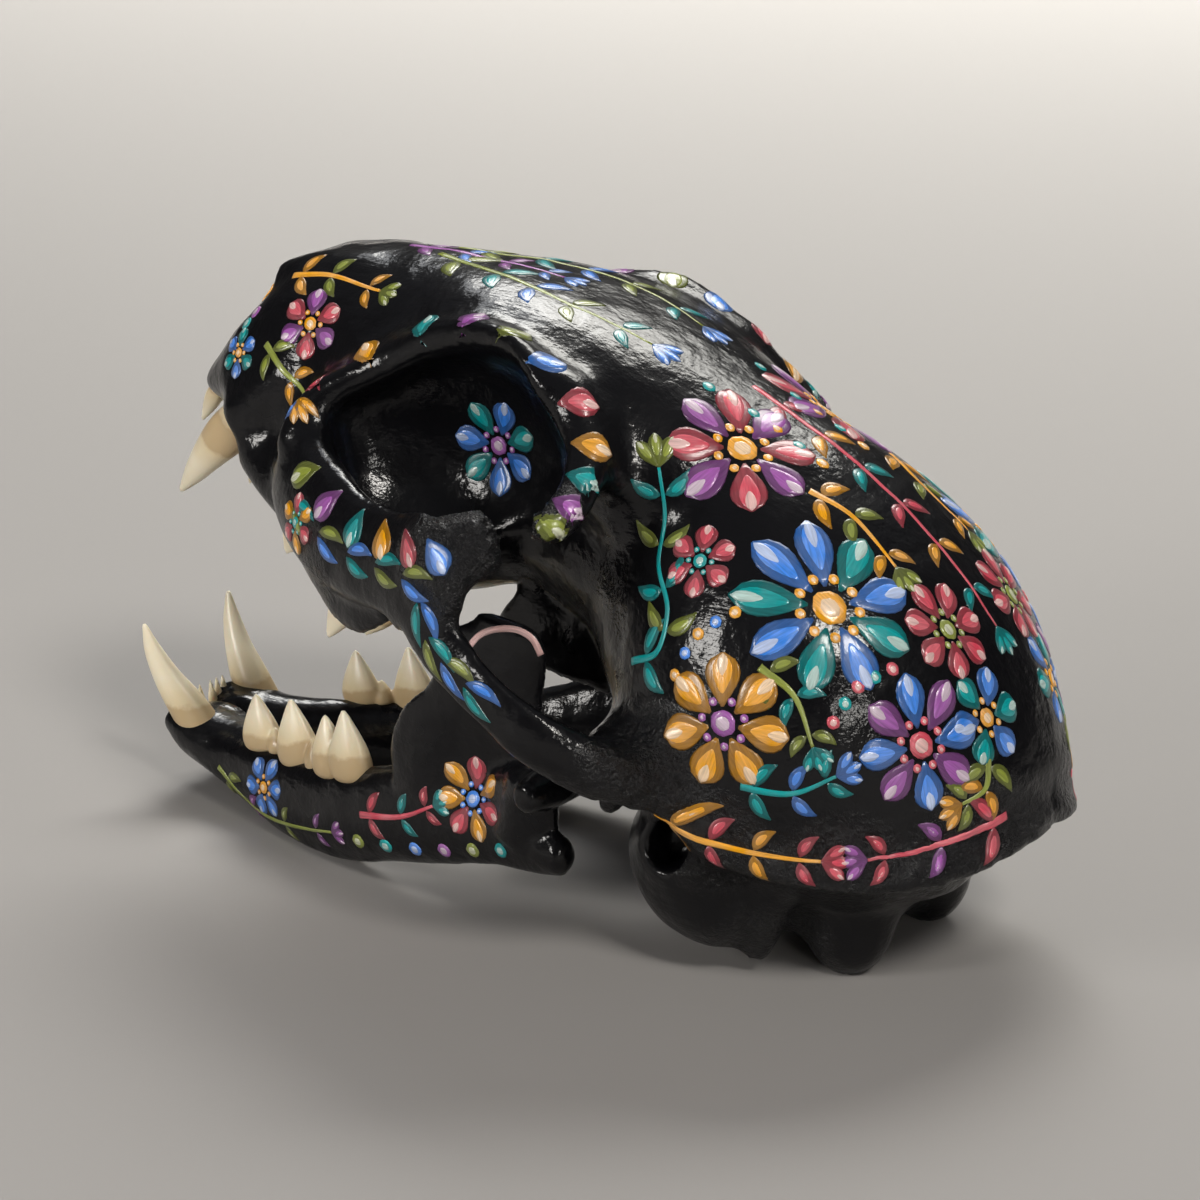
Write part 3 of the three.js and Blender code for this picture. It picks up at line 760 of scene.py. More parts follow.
class Nodes:
    """Short way to place and join the nodes of one material."""

    def __init__(self, name):
        self.material = bpy.data.materials.new(name)
        self.material.use_nodes = True
        self.tree = self.material.node_tree
        self.shader = self.tree.nodes["Principled BSDF"]

    def add(self, kind, **values):
        node = self.tree.nodes.new(kind)
        for key, value in values.items():
            if hasattr(node, key):
                setattr(node, key, value)
            else:
                node.inputs[key].default_value = value
        return node

    def join(self, out, into):
        self.tree.links.new(out, into)

    def place(self, stretch=(1, 1, 1)):
        """Object coordinates in millimetres, stretched."""
        where = self.add("ShaderNodeTexCoord")
        scaled = self.add("ShaderNodeMapping")
        scaled.inputs["Scale"].default_value = tuple(1 / MM * s for s in stretch)
        self.join(where.outputs["Object"], scaled.inputs["Vector"])
        return scaled.outputs["Vector"]

    def noise(self, where, scale, detail=3.0, rough=0.5):
        node = self.add("ShaderNodeTexNoise", Scale=scale, Detail=detail, Roughness=rough)
        self.join(where, node.inputs["Vector"])
        return node.outputs["Fac"]

    def ramp(self, value, stops):
        node = self.add("ShaderNodeValToRGB")
        marks = node.color_ramp.elements
        while len(marks) < len(stops):
            marks.new(0.5)
        for mark, (at, shade) in zip(marks, stops):
            mark.position = at
            mark.color = shade
        self.join(value, node.inputs["Fac"])
        return node.outputs["Color"]

    def spread(self, value, low, high, start=0.3, stop=0.7):
        node = self.add("ShaderNodeMapRange")
        node.inputs["From Min"].default_value = start
        node.inputs["From Max"].default_value = stop
        node.inputs["To Min"].default_value = low
        node.inputs["To Max"].default_value = high
        self.join(value, node.inputs["Value"])
        return node.outputs["Result"]

    def bumped(self, heights):
        """Chain of bumps, each (height, strength, distance in mm), under the clear film too."""
        last = None
        for height, strength, reach in heights:
            node = self.add("ShaderNodeBump", Strength=strength, Distance=reach * MM)
            self.join(height, node.inputs["Height"])
            if last:
                self.join(last.outputs["Normal"], node.inputs["Normal"])
            last = node
        self.join(last.outputs["Normal"], self.shader.inputs["Normal"])
        self.join(last.outputs["Normal"], self.shader.inputs["Coat Normal"])


def gloss_black():
    """Thick gloss black: brushed streaks, small dimples, a hard clear film, rugged places."""
    m = Nodes("gloss_black_paint")
    where = m.place()
    streaks = m.noise(m.place((1, 0.12, 1)), 1.8, 4.0, 0.6)
    lumps = m.noise(where, 0.55, 3.0)
    grit = m.noise(where, 4.0, 3.0)
    worn = m.noise(where, 0.12, 3.0)
    rugged = m.add("ShaderNodeAttribute", attribute_name="rugged")
    pebbles = m.add("ShaderNodeMath", operation="MULTIPLY")
    m.join(m.noise(where, 1.5, 4.0, 0.65), pebbles.inputs[0])
    m.join(rugged.outputs["Fac"], pebbles.inputs[1])
    m.shader.inputs["Base Color"].default_value = colours().black
    m.join(m.spread(worn, 0.22, 0.4), m.shader.inputs["Roughness"])
    m.shader.inputs["Specular IOR Level"].default_value = 0.08
    m.shader.inputs["Coat Weight"].default_value = 0.55
    m.shader.inputs["Coat Roughness"].default_value = 0.05
    m.bumped(
        [(lumps, 0.5, 0.3), (streaks, 0.5, 0.09), (grit, 0.5, 0.025), (pebbles.outputs[0], 1.0, 0.8)]
    )
    return m.material


def enamel():
    """Satin ivory tooth, clouded, browner towards the gum and a little uneven."""
    m = Nodes("ivory_enamel")
    gum = m.add("ShaderNodeAttribute", attribute_name="gum")
    where = m.place()
    cloud = m.noise(where, 0.6, 3.0)
    blend = m.add("ShaderNodeMath", operation="MULTIPLY_ADD")
    m.join(cloud, blend.inputs[0])
    blend.inputs[1].default_value = 0.35
    m.join(gum.outputs["Fac"], blend.inputs[2])
    tone = m.ramp(
        blend.outputs["Value"],
        [(0.15, colours().ivory), (0.75, colours().cream), (0.852, colours().root)],
    )
    m.join(tone, m.shader.inputs["Base Color"])
    m.shader.inputs["Roughness"].default_value = 0.38
    m.shader.inputs["Subsurface Weight"].default_value = 0.12
    m.shader.inputs["Subsurface Radius"].default_value = (0.8 * MM, 0.5 * MM, 0.3 * MM)
    m.shader.inputs["Subsurface Scale"].default_value = 1.0
    m.shader.inputs["Coat Weight"].default_value = 0.25
    m.shader.inputs["Coat Roughness"].default_value = 0.2
    m.bumped([(m.noise(where, 1.4, 4.0), 0.25, 0.08)])
    return m.material


def thick_paint():
    """Gloss paint in the stroke's own colour, with streaks left by the brush."""
    m = Nodes("thick_gloss_paint")
    paint = m.add("ShaderNodeAttribute", attribute_name="paint")
    sweep = m.add("ShaderNodeAttribute", attribute_name="sweep")
    along = m.add("ShaderNodeMapping")
    along.inputs["Scale"].default_value = (0.35, 5.0, 1.0)
    m.join(sweep.outputs["Vector"], along.inputs["Vector"])
    streaks = m.noise(along.outputs["Vector"], 1.0, 3.0, 0.6)
    worn = m.noise(m.place(), 0.5, 2.0)
    tint = m.add("ShaderNodeHueSaturation")
    m.join(m.spread(streaks, 0.72, 1.2), tint.inputs["Value"])
    m.join(m.spread(worn, 0.88, 1.05), tint.inputs["Saturation"])
    m.join(paint.outputs["Color"], tint.inputs["Color"])
    m.join(tint.outputs["Color"], m.shader.inputs["Base Color"])
    m.shader.inputs["Roughness"].default_value = 0.3
    m.shader.inputs["Coat Weight"].default_value = 0.3
    m.shader.inputs["Coat Roughness"].default_value = 0.08
    m.bumped([(streaks, 0.4, 0.05), (m.noise(m.place(), 0.9, 2.0), 0.2, 0.1)])
    return m.material


def studio_floor():
    m = Nodes("studio_floor")
    m.shader.inputs["Base Color"].default_value = colours().floor
    m.shader.inputs["Roughness"].default_value = 0.75
    m.bumped([(m.noise(m.place(), 0.8, 2.0), 0.05, 0.1)])
    return m.material


# --- Bones -----------------------------------------------------------------------------------


def both(make):
    for side in (1, -1):
        make(side)


def temple(bm, side):
    """Room of the jaw muscle, inside the cheekbone."""
    egg(bm, (25.4 * side, 48.5, 13.5), (12.4, 14.0, 17.0))


def nose_opening(bm):
    egg(bm, (0, 1.4, 10.0), (4.9, 9.5, 6.4), -12)


def throat(bm):
    """Hollow behind the palate."""
    egg(bm, (0, 45.0, 1.6), (4.4, 8.5, 5.4))


def spinal_opening(bm):
    egg(bm, (0, 93.5, 8.6), (5.9, 10.5, 5.2), -14)


def condyle(bm, side):
    """Knob beside the spinal opening, on which the skull rests."""
    egg(bm, (7.8 * side, 88.0, 4.5), (3.7, 4.4, 5.2), 20)


def condyle_bridge(bm):
    egg(bm, (0, 86.0, 4.0), (6.5, 4.2, 3.4))


def cranium_core():
    """Muzzle, forehead and braincase, with the eye sockets, temples, nose and throat cut out."""
    bm = bmesh.new()
    lofted(bm, MUZZLE)
    lofted(bm, FOREHEAD)
    lofted(bm, BRAINCASE)
    core = as_object(bm, "cranium")
    melt(core, ROUGH_GRAIN)
    bm = bmesh.new()
    both(lambda side: eye_socket(bm, side))
    carve(core, bm)
    bm = bmesh.new()
    both(lambda side: temple(bm, side))
    nose_opening(bm)
    throat(bm)
    carve(core, bm)
    return core


def vault_ridges(bm, side):
    """Ridges and knobs that flow into the vault, the face and the base."""
    rod(bm, BROW, REAR, side, rows=60)
    rod(bm, NUCHAL_CREST, REAR, side, rows=50)
    rod(bm, NASAL_TIP, UP, side)
    rod(bm, CANINE_RIDGE, REAR, side)
    rod(bm, JOINT_SHELF, UP, side)
    rod(bm, TOOTH_RIDGE, UP, side)
    rod(bm, CHEEKBONE[:4], UP, side)
    rod(bm, CHEEKBONE[-4:], UP, side)
    condyle(bm, side)
    bulla(bm, side)


def bulla(bm, side):
    """Ear capsule, with the rim of its opening."""
    egg(bm, (13.2 * side, 74.8, 2.6), (6.4, 8.6, 7.0), -6, -8 * side)
    egg(bm, (16.4 * side, 73.4, 5.2), (4.2, 5.6, 5.8))


def thin_bones(bm, side):
    """Cheekbone and the other thin bones, which keep their own edges."""
    rod(bm, POSTGLENOID_PEG, REAR, side)
    rod(bm, PARACONDYLAR_PEG, REAR, side)
    rod(bm, PTERYGOID_WING, UP, side)
    rod(bm, CHEEKBONE, UP, side, around=28, rows=80)
    rod(bm, CHEEK_LOBE, UP, side)
    rod(bm, CHEEK_HOOK, REAR, side)


def cranium_holes(bm, side):
    rod(bm, INFRAORBITAL_HOLE, UP, side)
    rod(bm, EAR_HOLE, UP, side, blunt=0.9)


def mark_rugged(piece):
    """Writes how rugged the bone is, up to 1 at the knobbly ends, the crest and the base."""
    co = points_of(piece)
    co[:, 0] = np.abs(co[:, 0])
    near = np.zeros(len(co))
    for centre, reach in RUGGED_PLACES:
        away = np.linalg.norm(co - centre, axis=1) / reach
        near = np.maximum(near, np.clip(1.3 * (1 - away**2), 0, 1))
    mark = piece.data.attributes.new("rugged", "FLOAT", "POINT")
    mark.data.foreach_set("value", near.astype(np.float32))


def sculpt_cranium(core):
    """Knobbly ends and crest, forehead and cheekbones a little in, uneven skin all over."""
    co, normal = points_of(core), normals_of(core)
    for side in (1, -1):
        for tip in (PROCESS_TIP, (27.6, 46.8, 24.0)):
            co = pebble(co, normal, tip, (5, 5, 5), 0.35, side, 1.4)
        co = pebble(co, normal, (24, 67, 12), (9, 9, 6), 0.3, side, 0.9)
        co = pebble(co, normal, (12, 92, 18), (12, 8, 9), 0.3, side, 0.9)
        co = press(co, normal, (33, 54, 13), (5, 11, 7), 0.4, side, (1, 0, 0))
    co = press(co, normal, (0, 25, 33), (17, 24, 9), 0.6, 1, (0, 0, 1))
    co = rough(co, normal, 0.28, 0.12)
    set_points(core, co)


def build_cranium():
    """One skin of bone for the whole cranium, with its ridges, holes and knobbly places."""
    core = cranium_core()
    bm = bmesh.new()
    both(lambda side: vault_ridges(bm, side))
    condyle_bridge(bm)
    add_to(core, bm)
    melt(core, ROUGH_GRAIN)
    fill_creases(core, FILLET, ROUGH_GRAIN)
    bm = bmesh.new()
    both(lambda side: thin_bones(bm, side))
    add_to(core, bm)
    grain = sizes().bone_grain / MM
    melt(core, grain)
    bm = bmesh.new()
    both(lambda side: cranium_holes(bm, side))
    spinal_opening(bm)
    carve(core, bm)
    melt(core, grain)
    soothe(core, 3)
    sculpt_cranium(core)
    mark_rugged(core)
    return finish_piece(
        core,
        cranium_place(),
        gloss_black(),
        (
            "braincase",
            "face",
            "zygomatic_arch_left",
            "zygomatic_arch_right",
            "tympanic_bulla_left",
            "tympanic_bulla_right",
        ),
    )


def build_jaw(side, name, node):
    """One half of the lower jaw."""
    bm = bmesh.new()
    rod(bm, JAW_BODY, UP, side, around=28, rows=80, blunt=0.6)
    egg(bm, (1.7 * side, -54.6, 9.8), (2.5, 4.2, 3.3))
    rod(bm, JAW_BLADE, REAR, side, around=32, rows=50, blunt=0.6)
    rod(bm, JAW_NECK, UP, side)
    rod(bm, JAW_REAR, REAR, side)
    rod(bm, JAW_KNUCKLE, UP, side, blunt=0.6)
    jaw = as_object(bm, name)
    grain = sizes().bone_grain / MM * 0.75
    melt(jaw, grain)
    soothe(jaw, 3)
    co, normal = points_of(jaw), normals_of(jaw)
    co = press(co, normal, (18.4, -10, 12), (5, 7.5, 8), 0.9, side, (1, 0, 0))
    co = rough(co, normal, 0.35, 0.1, 4.0)
    set_points(jaw, co)
    return finish_piece(jaw, jaw_place(), gloss_black(), (node,))


# --- Teeth -----------------------------------------------------------------------------------


def mark_gum(piece, level, reach):
    """Writes how near the gum line each point is, 1 at the gum and 0 at the tips."""
    co = points_of(piece)
    near = np.clip(1 - np.abs(co[:, 2] - level) / reach, 0, 1)
    mark = piece.data.attributes.new("gum", "FLOAT", "POINT")
    mark.data.foreach_set("value", near.astype(np.float32))


def build_teeth(name, table, level, place):
    """Cheek teeth and incisors of both sides, as one piece."""
    bm = bmesh.new()
    for side in (1, -1):
        for base, points in table:
            cusps(bm, base, points, side)
    teeth = as_object(bm, name)
    melt(teeth, sizes().tooth_grain / MM)
    soothe(teeth, 2)
    mark_gum(teeth, level, 4.0)
    return finish_piece(teeth, place, enamel())


def build_canine(node, knots, side, place, level):
    bm = bmesh.new()
    rod(bm, knots, REAR, side, around=32, rows=60, blunt=0.7)
    canine = as_object(bm, f"ivory_{node}")
    mark_gum(canine, level, 5.0)
    return finish_piece(canine, place, enamel(), (node,))


# --- Ornament --------------------------------------------------------------------------------


def tones(name):
    """Dark, middle and light tone of a paint."""
    middle = np.array(getattr(colours(), name))
    return (*middle * 0.4, 1), (*middle, 1), (*(middle * 0.5 + np.array((0.46, 0.46, 0.42))), 1)


def petal_shape(t):
    return np.sin(math.pi * t**1.5) ** 0.6


def leaf_shape(t):
    return np.sin(math.pi * t**0.8) ** 0.9


def dot_shape(t):
    return np.sqrt(np.clip(1 - (2 * t - 1) ** 2, 0, 1))


def stem_shape(t):
    return 1 - 0.6 * t


class Brush:
    """Lays strokes of thick paint on one finished bone, in that bone's own frame."""

    # Height of a stroke, rise of each tone over the last, depth of the underside in the bone.
    CROWN = 0.09
    TONE_STEP = 0.045
    SUNK = 0.15
    # Height over the skin from which flat shapes are dropped on it.
    DROP = 3.0

    def __init__(self, bone, place):
        skin = bmesh.new()
        skin.from_mesh(bone.data)
        skin.transform(place.inverted())
        self.tree = BVHTree.FromBMesh(skin)
        skin.free()
        self.place = place
        self.balls = {}
        self.strokes = []

    def pattern(self, around, rows):
        """Ball that a stroke is drawn out of, made once for each fineness."""
        if (around, rows) not in self.balls:
            bm = bmesh.new()
            _, angle, along, size = ball(bm, around, rows)
            faces = [[v.index for v in f.verts] for f in bm.faces]
            bm.free()
            self.balls[around, rows] = angle, along, size, faces
        return self.balls[around, rows]

    def done(self, name):
        """Makes one piece of the strokes laid so far."""
        points, faces = [], []
        for places, own, _, _ in self.strokes:
            faces += [[len(points) + i for i in face] for face in own]
            points += places
        mesh = bpy.data.meshes.new(name)
        mesh.from_pydata(points, [], faces)
        tone = np.concatenate([np.tile(t, len(p)) for p, _, t, _ in self.strokes])
        sweep = np.concatenate([w.ravel() for _, _, _, w in self.strokes])
        mesh.attributes.new("paint", "FLOAT_COLOR", "POINT").data.foreach_set("color", tone)
        mesh.attributes.new("sweep", "FLOAT_VECTOR", "POINT").data.foreach_set("vector", sweep)
        self.strokes = []
        bm = bmesh.new()
        bm.from_mesh(mesh)
        bpy.data.meshes.remove(mesh)
        piece = as_object(bm, name)
        return finish_piece(piece, self.place, thick_paint())

    def reach(self, start, way, far=8.0):
        """First skin met from a start, or else the skin nearest to it."""
        at, normal, _, _ = self.tree.ray_cast(start, way, far)
        if at is None:
            at, normal, _, _ = self.tree.find_nearest(start)
        return at, normal

    def round_spot(self, place, side, level):
        """Skin at a distance back and an angle round the long axis."""
        y, angle = place
        turn = math.radians(angle)
        way = Vector((math.cos(turn) * side, 0, math.sin(turn)))
        return self.reach(Vector((0, y, level)) + way * 60, -way, 100)

    def side_spot(self, place, side, level):
        """Skin at a distance back and a height, met from the side."""
        y, z = place
        return self.reach(Vector((40 * side, y, z + level)), Vector((-side, 0, 0)), 100)

    def frame(self, at, normal, ahead):
        """Flat frame on the skin: x ahead, y across, z out of the skin."""
        across = Vector(normal).cross(Vector(ahead)).normalized()
        onward = across.cross(Vector(normal)).normalized()
        axes = Matrix((onward, across, Vector(normal))).transposed().to_4x4()
        return Matrix.Translation(at) @ axes

    def lay(self, frame, flat):
        """Drops flat points of a frame on the skin; returns them with evened normals."""
        down = -frame.col[2].to_3d()
        hits = [self.reach(frame @ Vector((x, y, self.DROP)), down, 3 * self.DROP) for x, y in flat]
        return self.evened(hits)

    def evened(self, hits):
        """Places of the hits, with their normals smoothed along the line."""
        places = np.array([at for at, _ in hits])
        normals = np.array([normal for _, normal in hits])
        for _ in range(4):
            near = np.concatenate([normals[:1], normals, normals[-1:]])
            normals = unit(near[:-2] + 2 * near[1:-1] + near[2:])
        return places, normals

    def stroke(self, line, half, tone, layer=0, around=12):
        """One raised stroke along a line of points, in one tone."""
        spine, normals = line
        rows = len(spine)
        across = unit(np.cross(normals, np.gradient(spine, axis=0)))
        run = np.concatenate([[0], np.cumsum(np.linalg.norm(np.diff(spine, axis=0), axis=1))])
        angle, along, size, faces = self.pattern(around, rows)
        row = np.rint(along * (rows - 1)).astype(int)
        aside = np.cos(angle) * half[row] * size
        crown = self.CROWN * np.minimum(half[row] / 0.4, 1) + self.TONE_STEP * layer
        lift = np.sin(angle) * size
        rise = np.where(lift > 0.01, crown * np.abs(lift) ** 0.5, -self.SUNK * (lift < -0.01))
        places = spine[row] + across[row] * aside[:, None]
        seed = float(spine[0, 0] + spine[0, 1])
        ways = [Vector(n) for n in normals]
        ended = []
        for place, i, up in zip(places, row, rise):
            at, _ = self.reach(Vector(place) + ways[i], -ways[i], 2.5)
            ended.append(at + ways[i] * float(up))
        sweep = np.stack([run[row], aside, np.full(len(aside), seed)], 1).astype(np.float32)
        self.strokes.append((ended, faces, np.array(tone, np.float32), sweep))

    def blade(self, frame, root, tip, wide, paint, shape, layers, bow):
        """Petal or leaf in nested tones; each layer is (from, to, share of the width)."""
        root, tip = np.array(root, float), np.array(tip, float)
        way = tip - root
        aside = np.array((-way[1], way[0])) * bow
        for i, (near, far, share) in enumerate(layers):
            t = np.linspace(0, 1, 9)
            s = (near + (far - near) * t)[:, None]
            flat = root + way * s + aside * np.sin(math.pi * s)
            half = wide / 2 * share * np.maximum(shape(t), 0.08)
            self.stroke(self.lay(frame, flat), half, tones(paint)[i], i)

    def petal(self, frame, root, tip, wide, paint):
        layers = ((0, 1, 1.0), (0.2, 0.96, 0.62), (0.52, 0.98, 0.34))
        self.blade(frame, root, tip, wide, paint, petal_shape, layers, 0)

    def leaf(self, frame, root, tip, wide, paint, bow):
        layers = ((0, 1, 1.0), (0.12, 0.85, 0.55), (0.3, 0.7, 0.2))
        self.blade(frame, root, tip, wide, paint, leaf_shape, layers, bow)

    def dot(self, at, normal, radius, paint):
        frame = self.frame(at, normal, REAR)
        t = np.linspace(0, 1, 6)
        for i, share in enumerate((1.0, 0.62)):
            flat = [((2 * v - 1) * radius * share, 0) for v in t]
            half = np.maximum(dot_shape(t), 0.2) * radius * share
            self.stroke(self.lay(frame, flat), half, tones(paint)[i + 1], i + 1, 10)

    def flower(self, frame, radius, count, paints, middle):
        """Ring of petals round a raised middle with dots round it."""
        for k in range(count):
            turn = 2 * math.pi * k / count
            way = np.array((math.cos(turn), math.sin(turn)))
            wide = 2 * math.pi * radius * 0.62 / count
            self.petal(frame, way * radius * 0.24, way * radius, wide, paints[k % len(paints)])
        line, normals = self.lay(frame, [(0, 0)])
        self.dot(line[0], normals[0], radius * 0.2, middle)
        for k in range(count):
            turn = 2 * math.pi * (k + 0.5) / count
            place = [(math.cos(turn) * radius * 0.34, math.sin(turn) * radius * 0.34)]
            line, normals = self.lay(frame, place)
            self.dot(line[0], normals[0], radius * 0.05 + 0.1, middle)

    def chain(self, spots, count):
        """Points and evened normals along a smooth line over the skin."""
        knots = np.array([at for at, _ in spots])
        way = np.array([normal for _, normal in spots])
        along = np.linspace(0, 1, count)
        outward = unit(path_of(way, along))
        line = path_of(knots, along)
        hits = [
            self.reach(Vector(p) + 2 * Vector(n), -Vector(n)) for p, n in zip(line, outward)
        ]
        return self.evened(hits)

    def sprig(self, spots, length, pairs, paints):
        """Thin stem with pairs of leaves and a bud at its end."""
        spine, normals = self.chain(spots, 40)
        ahead = unit(np.gradient(spine, axis=0))
        stem = stem_shape(np.linspace(0, 1, 40)) * 0.38
        self.stroke((spine, normals), stem, tones(paints[0])[1], 0, 8)
        for k in range(pairs):
            i = int(39 * (0.12 + 0.76 * k / max(pairs - 1, 1)))
            frame = self.frame(spine[i], normals[i], ahead[i])
            size = length * (1 - 0.25 * k / pairs)
            for turn in (52, -52):
                way = np.array((math.cos(math.radians(turn)), math.sin(math.radians(turn))))
                bow = 0.12 if turn > 0 else -0.12
                paint = paints[k % len(paints)]
                self.leaf(frame, way * 0.3, way * size, size * 0.42, paint, bow)
        frame = self.frame(spine[-1], normals[-1], ahead[-1])
        for turn in (-34, 34, 0):
            way = np.array((math.cos(math.radians(turn)), math.sin(math.radians(turn))))
            self.petal(frame, (0, 0), way * length * 0.72, length * 0.34, paints[-1])

    def dots(self, spots, count, radius, paints):
        spine, normals = self.chain(spots, count)
        for k in range(count):
            self.dot(spine[k], normals[k], radius, paints[k % len(paints)])


def lay_out(brush, side, spot, level, flowers=(), sprigs=(), dots=()):
    """Paints the flowers, sprigs and dot chains of one area on one side."""
    for place, radius, count, paints, middle in flowers:
        at, normal = spot(place, side, level)
        brush.flower(brush.frame(at, normal, -REAR), radius, count, paints, middle)
    for places, length, pairs, paints in sprigs:
        brush.sprig([spot(place, side, level) for place in places], length, pairs, paints)
    for places, count, radius, paints in dots:
        brush.dots([spot(place, side, level) for place in places], count, radius, paints)


def eye_frame(side):
    """Frame of the eye socket's opening: x rearward and up, z outward."""
    axes = Matrix((ORBIT_LONG, -ORBIT_SHORT, ORBIT_FACING)).transposed()
    across = Matrix.Diagonal((side, 1, 1, 1))
    return across @ Matrix.Translation(ORBIT_CENTRE) @ axes.to_4x4()


def eye_ring(brush, side):
    """Petals over the brow and the upper edge of the cheekbone, standing out of the eye."""
    frame = eye_frame(side)
    outward = frame.col[2].to_3d()
    centre = frame.to_translation()
    paints = ("blue", "rose", "ochre", "teal", "purple", "olive")
    brow = path_of(BROW, np.linspace(0.1, 0.94, 12))
    edge = np.array([(x, y, z + 0.6 * deep) for x, y, z, _, deep in CHEEKBONE[1:6]])
    cheek = path_of(edge, np.linspace(0.2, 1, 6))
    for k, knot in enumerate(np.concatenate([cheek[::-1], brow])):
        rim = Vector(knot * [side, 1, 1])
        way = rim - centre
        way -= outward * way.dot(outward)
        ray = (outward + 0.7 * way.normalized()).normalized()
        at = brush.tree.ray_cast(rim + ray * 8, -ray, 12)[0]
        if at is None:
            continue
        own = brush.frame(at, ray, way)
        brush.petal(own, (-1.5, 0), (2.3, 0), 2.9, paints[k % len(paints)])


def arch_leaves(brush, side):
    """Chain of leaves along the outer face of the cheekbone."""
    paints = ("teal", "olive", "blue")
    bar = np.asarray(CHEEKBONE, float) * [side, 1, 1, 1, 1]
    line = path_of(bar, np.linspace(0.12, 0.72, 60))
    inward = Vector((-side, 0, 0))
    spots = [brush.reach(Vector(p) - 9.0 * inward, inward, 20) for p in line]
    spine, normals = brush.evened(spots)
    ahead = unit(np.gradient(spine, axis=0))
    for k, i in enumerate(range(2, 56, 6)):
        frame = brush.frame(spine[i], normals[i], ahead[i])
        brush.leaf(frame, (0, 0.25), (4.0, 1.0), 1.3, paints[k % 3], 0.1)
        brush.leaf(frame, (0, -0.25), (4.0, -1.0), 1.3, paints[(k + 1) % 3], -0.1)


def crest_leaves(brush, side):
    """Two sprigs in front of the crest at the back of the skull."""
    crest = np.asarray(NUCHAL_CREST, float) * [side, 1, 1, 1, 1]
    line = path_of(crest, np.linspace(0.1, 0.86, 9))
    spots = []
    for p in line:
        way = unit(p - (0, 78, 17))
        ahead = unit(np.cross(way, (0, -0.5 * side, 0)) + (0, -1, 0.55))
        start = p + ahead * 4.2 + way * 6
        spots.append(brush.reach(Vector(start), -Vector(way), 16))
    brush.sprig(spots[:5], 3.6, 4, ("ochre", "rose"))
    brush.sprig(spots[8:4:-1], 3.4, 3, ("rose", "purple"))


def eye_flower(brush, side):
    """Flower on the inner wall of the eye socket."""
    frame = eye_frame(side)
    at, normal = brush.reach(frame @ Vector((-3.1, 7, 0)), -frame.col[2].to_3d(), 30)
    brush.flower(brush.frame(at, normal, REAR), 4.8, 7, ("blue", "teal"), "purple")


def paint_cranium(side, name):
    """Ornament of one side of the cranium; the left side's pieces hold the middle sprigs."""
    brush = Brush(bpy.data.objects["cranium"], cranium_place())
    lay_out(brush, side, brush.round_spot, 18, CRANIUM_FLOWERS, CRANIUM_SPRIGS, CRANIUM_DOTS)
    brush.done(f"ornament_braincase_{name}")
    lay_out(brush, side, brush.round_spot, 18, (), TOP_SPRIGS)
    lay_out(brush, side, brush.round_spot, 10, MUZZLE_FLOWERS, MUZZLE_SPRIGS, MUZZLE_DOTS)
    lay_out(brush, side, brush.side_spot, 0, CHEEK_FLOWERS)
    if side > 0:
        lay_out(brush, side, brush.round_spot, 18, (), MIDDLE_SPRIGS)
    eye_ring(brush, side)
    eye_flower(brush, side)
    arch_leaves(brush, side)
    crest_leaves(brush, side)
    brush.done(f"ornament_face_{name}")


def blade_edge(brush, side):
    """Pale line along the top edge of the jaw's tall blade."""
    line = brush.chain([brush.side_spot(place, side, 0) for place in BLADE_EDGE], 30)
    brush.stroke(line, np.full(30, 0.32), tones("rose")[2], 0, 8)


def paint_jaw(side, name):
    brush = Brush(bpy.data.objects[f"jaw_{name}"], jaw_place())
    blade_edge(brush, side)
    lay_out(brush, side, brush.side_spot, 0, JAW_FLOWERS, JAW_SPRIGS, JAW_DOTS)
    brush.done(f"ornament_jaw_{name}")


# --- Stage -----------------------------------------------------------------------------------


def add_camera():
    """Camera behind the animal's left shoulder, a little above."""
    azimuth, elevation, roll = (math.radians(turn) for turn in CAMERA_TURNS)
    ahead = Vector(
        (
            -math.sin(azimuth) * math.cos(elevation),
            math.cos(azimuth) * math.cos(elevation),
            -math.sin(elevation),
        )
    )
    level = ahead.cross(UP).normalized()
    upright = level.cross(ahead)
    right = level * math.cos(roll) + upright * math.sin(roll)
    above = upright * math.cos(roll) - level * math.sin(roll)
    data = bpy.data.cameras.new("camera")
    data.lens, data.sensor_width = CAMERA_LENS, 36
    data.clip_start, data.clip_end = 0.01, 20
    camera = bpy.data.objects.new("camera", data)
    bpy.context.scene.collection.objects.link(camera)
    turn = Matrix((right, above, -ahead)).transposed().to_4x4()
    camera.matrix_world = Matrix.Translation(CAMERA_PLACE) @ turn
    bpy.context.scene.camera = camera


def add_light(name, place, aim, size, power, spread, colour):
    """Round soft light; spread is the width of its beam in degrees."""
    data = bpy.data.lights.new(name, "AREA")
    data.shape = "DISK"
    data.size, data.energy, data.color = size, power, colour
    data.spread = math.radians(spread)
    lamp = bpy.data.objects.new(name, data)
    bpy.context.scene.collection.objects.link(lamp)
    lamp.location = place
    lamp.rotation_euler = (Vector(aim) - Vector(place)).to_track_quat("-Z", "Y").to_euler()


def add_world(scene):
    """Dim even light from all round."""
    world = bpy.data.worlds.new("studio")
    world.use_nodes = True
    background = world.node_tree.nodes["Background"]
    background.inputs["Color"].default_value = (0.9, 0.9, 0.95, 1)
    background.inputs["Strength"].default_value = 0.12
    scene.world = world
    scene.view_settings.view_transform = "Standard"


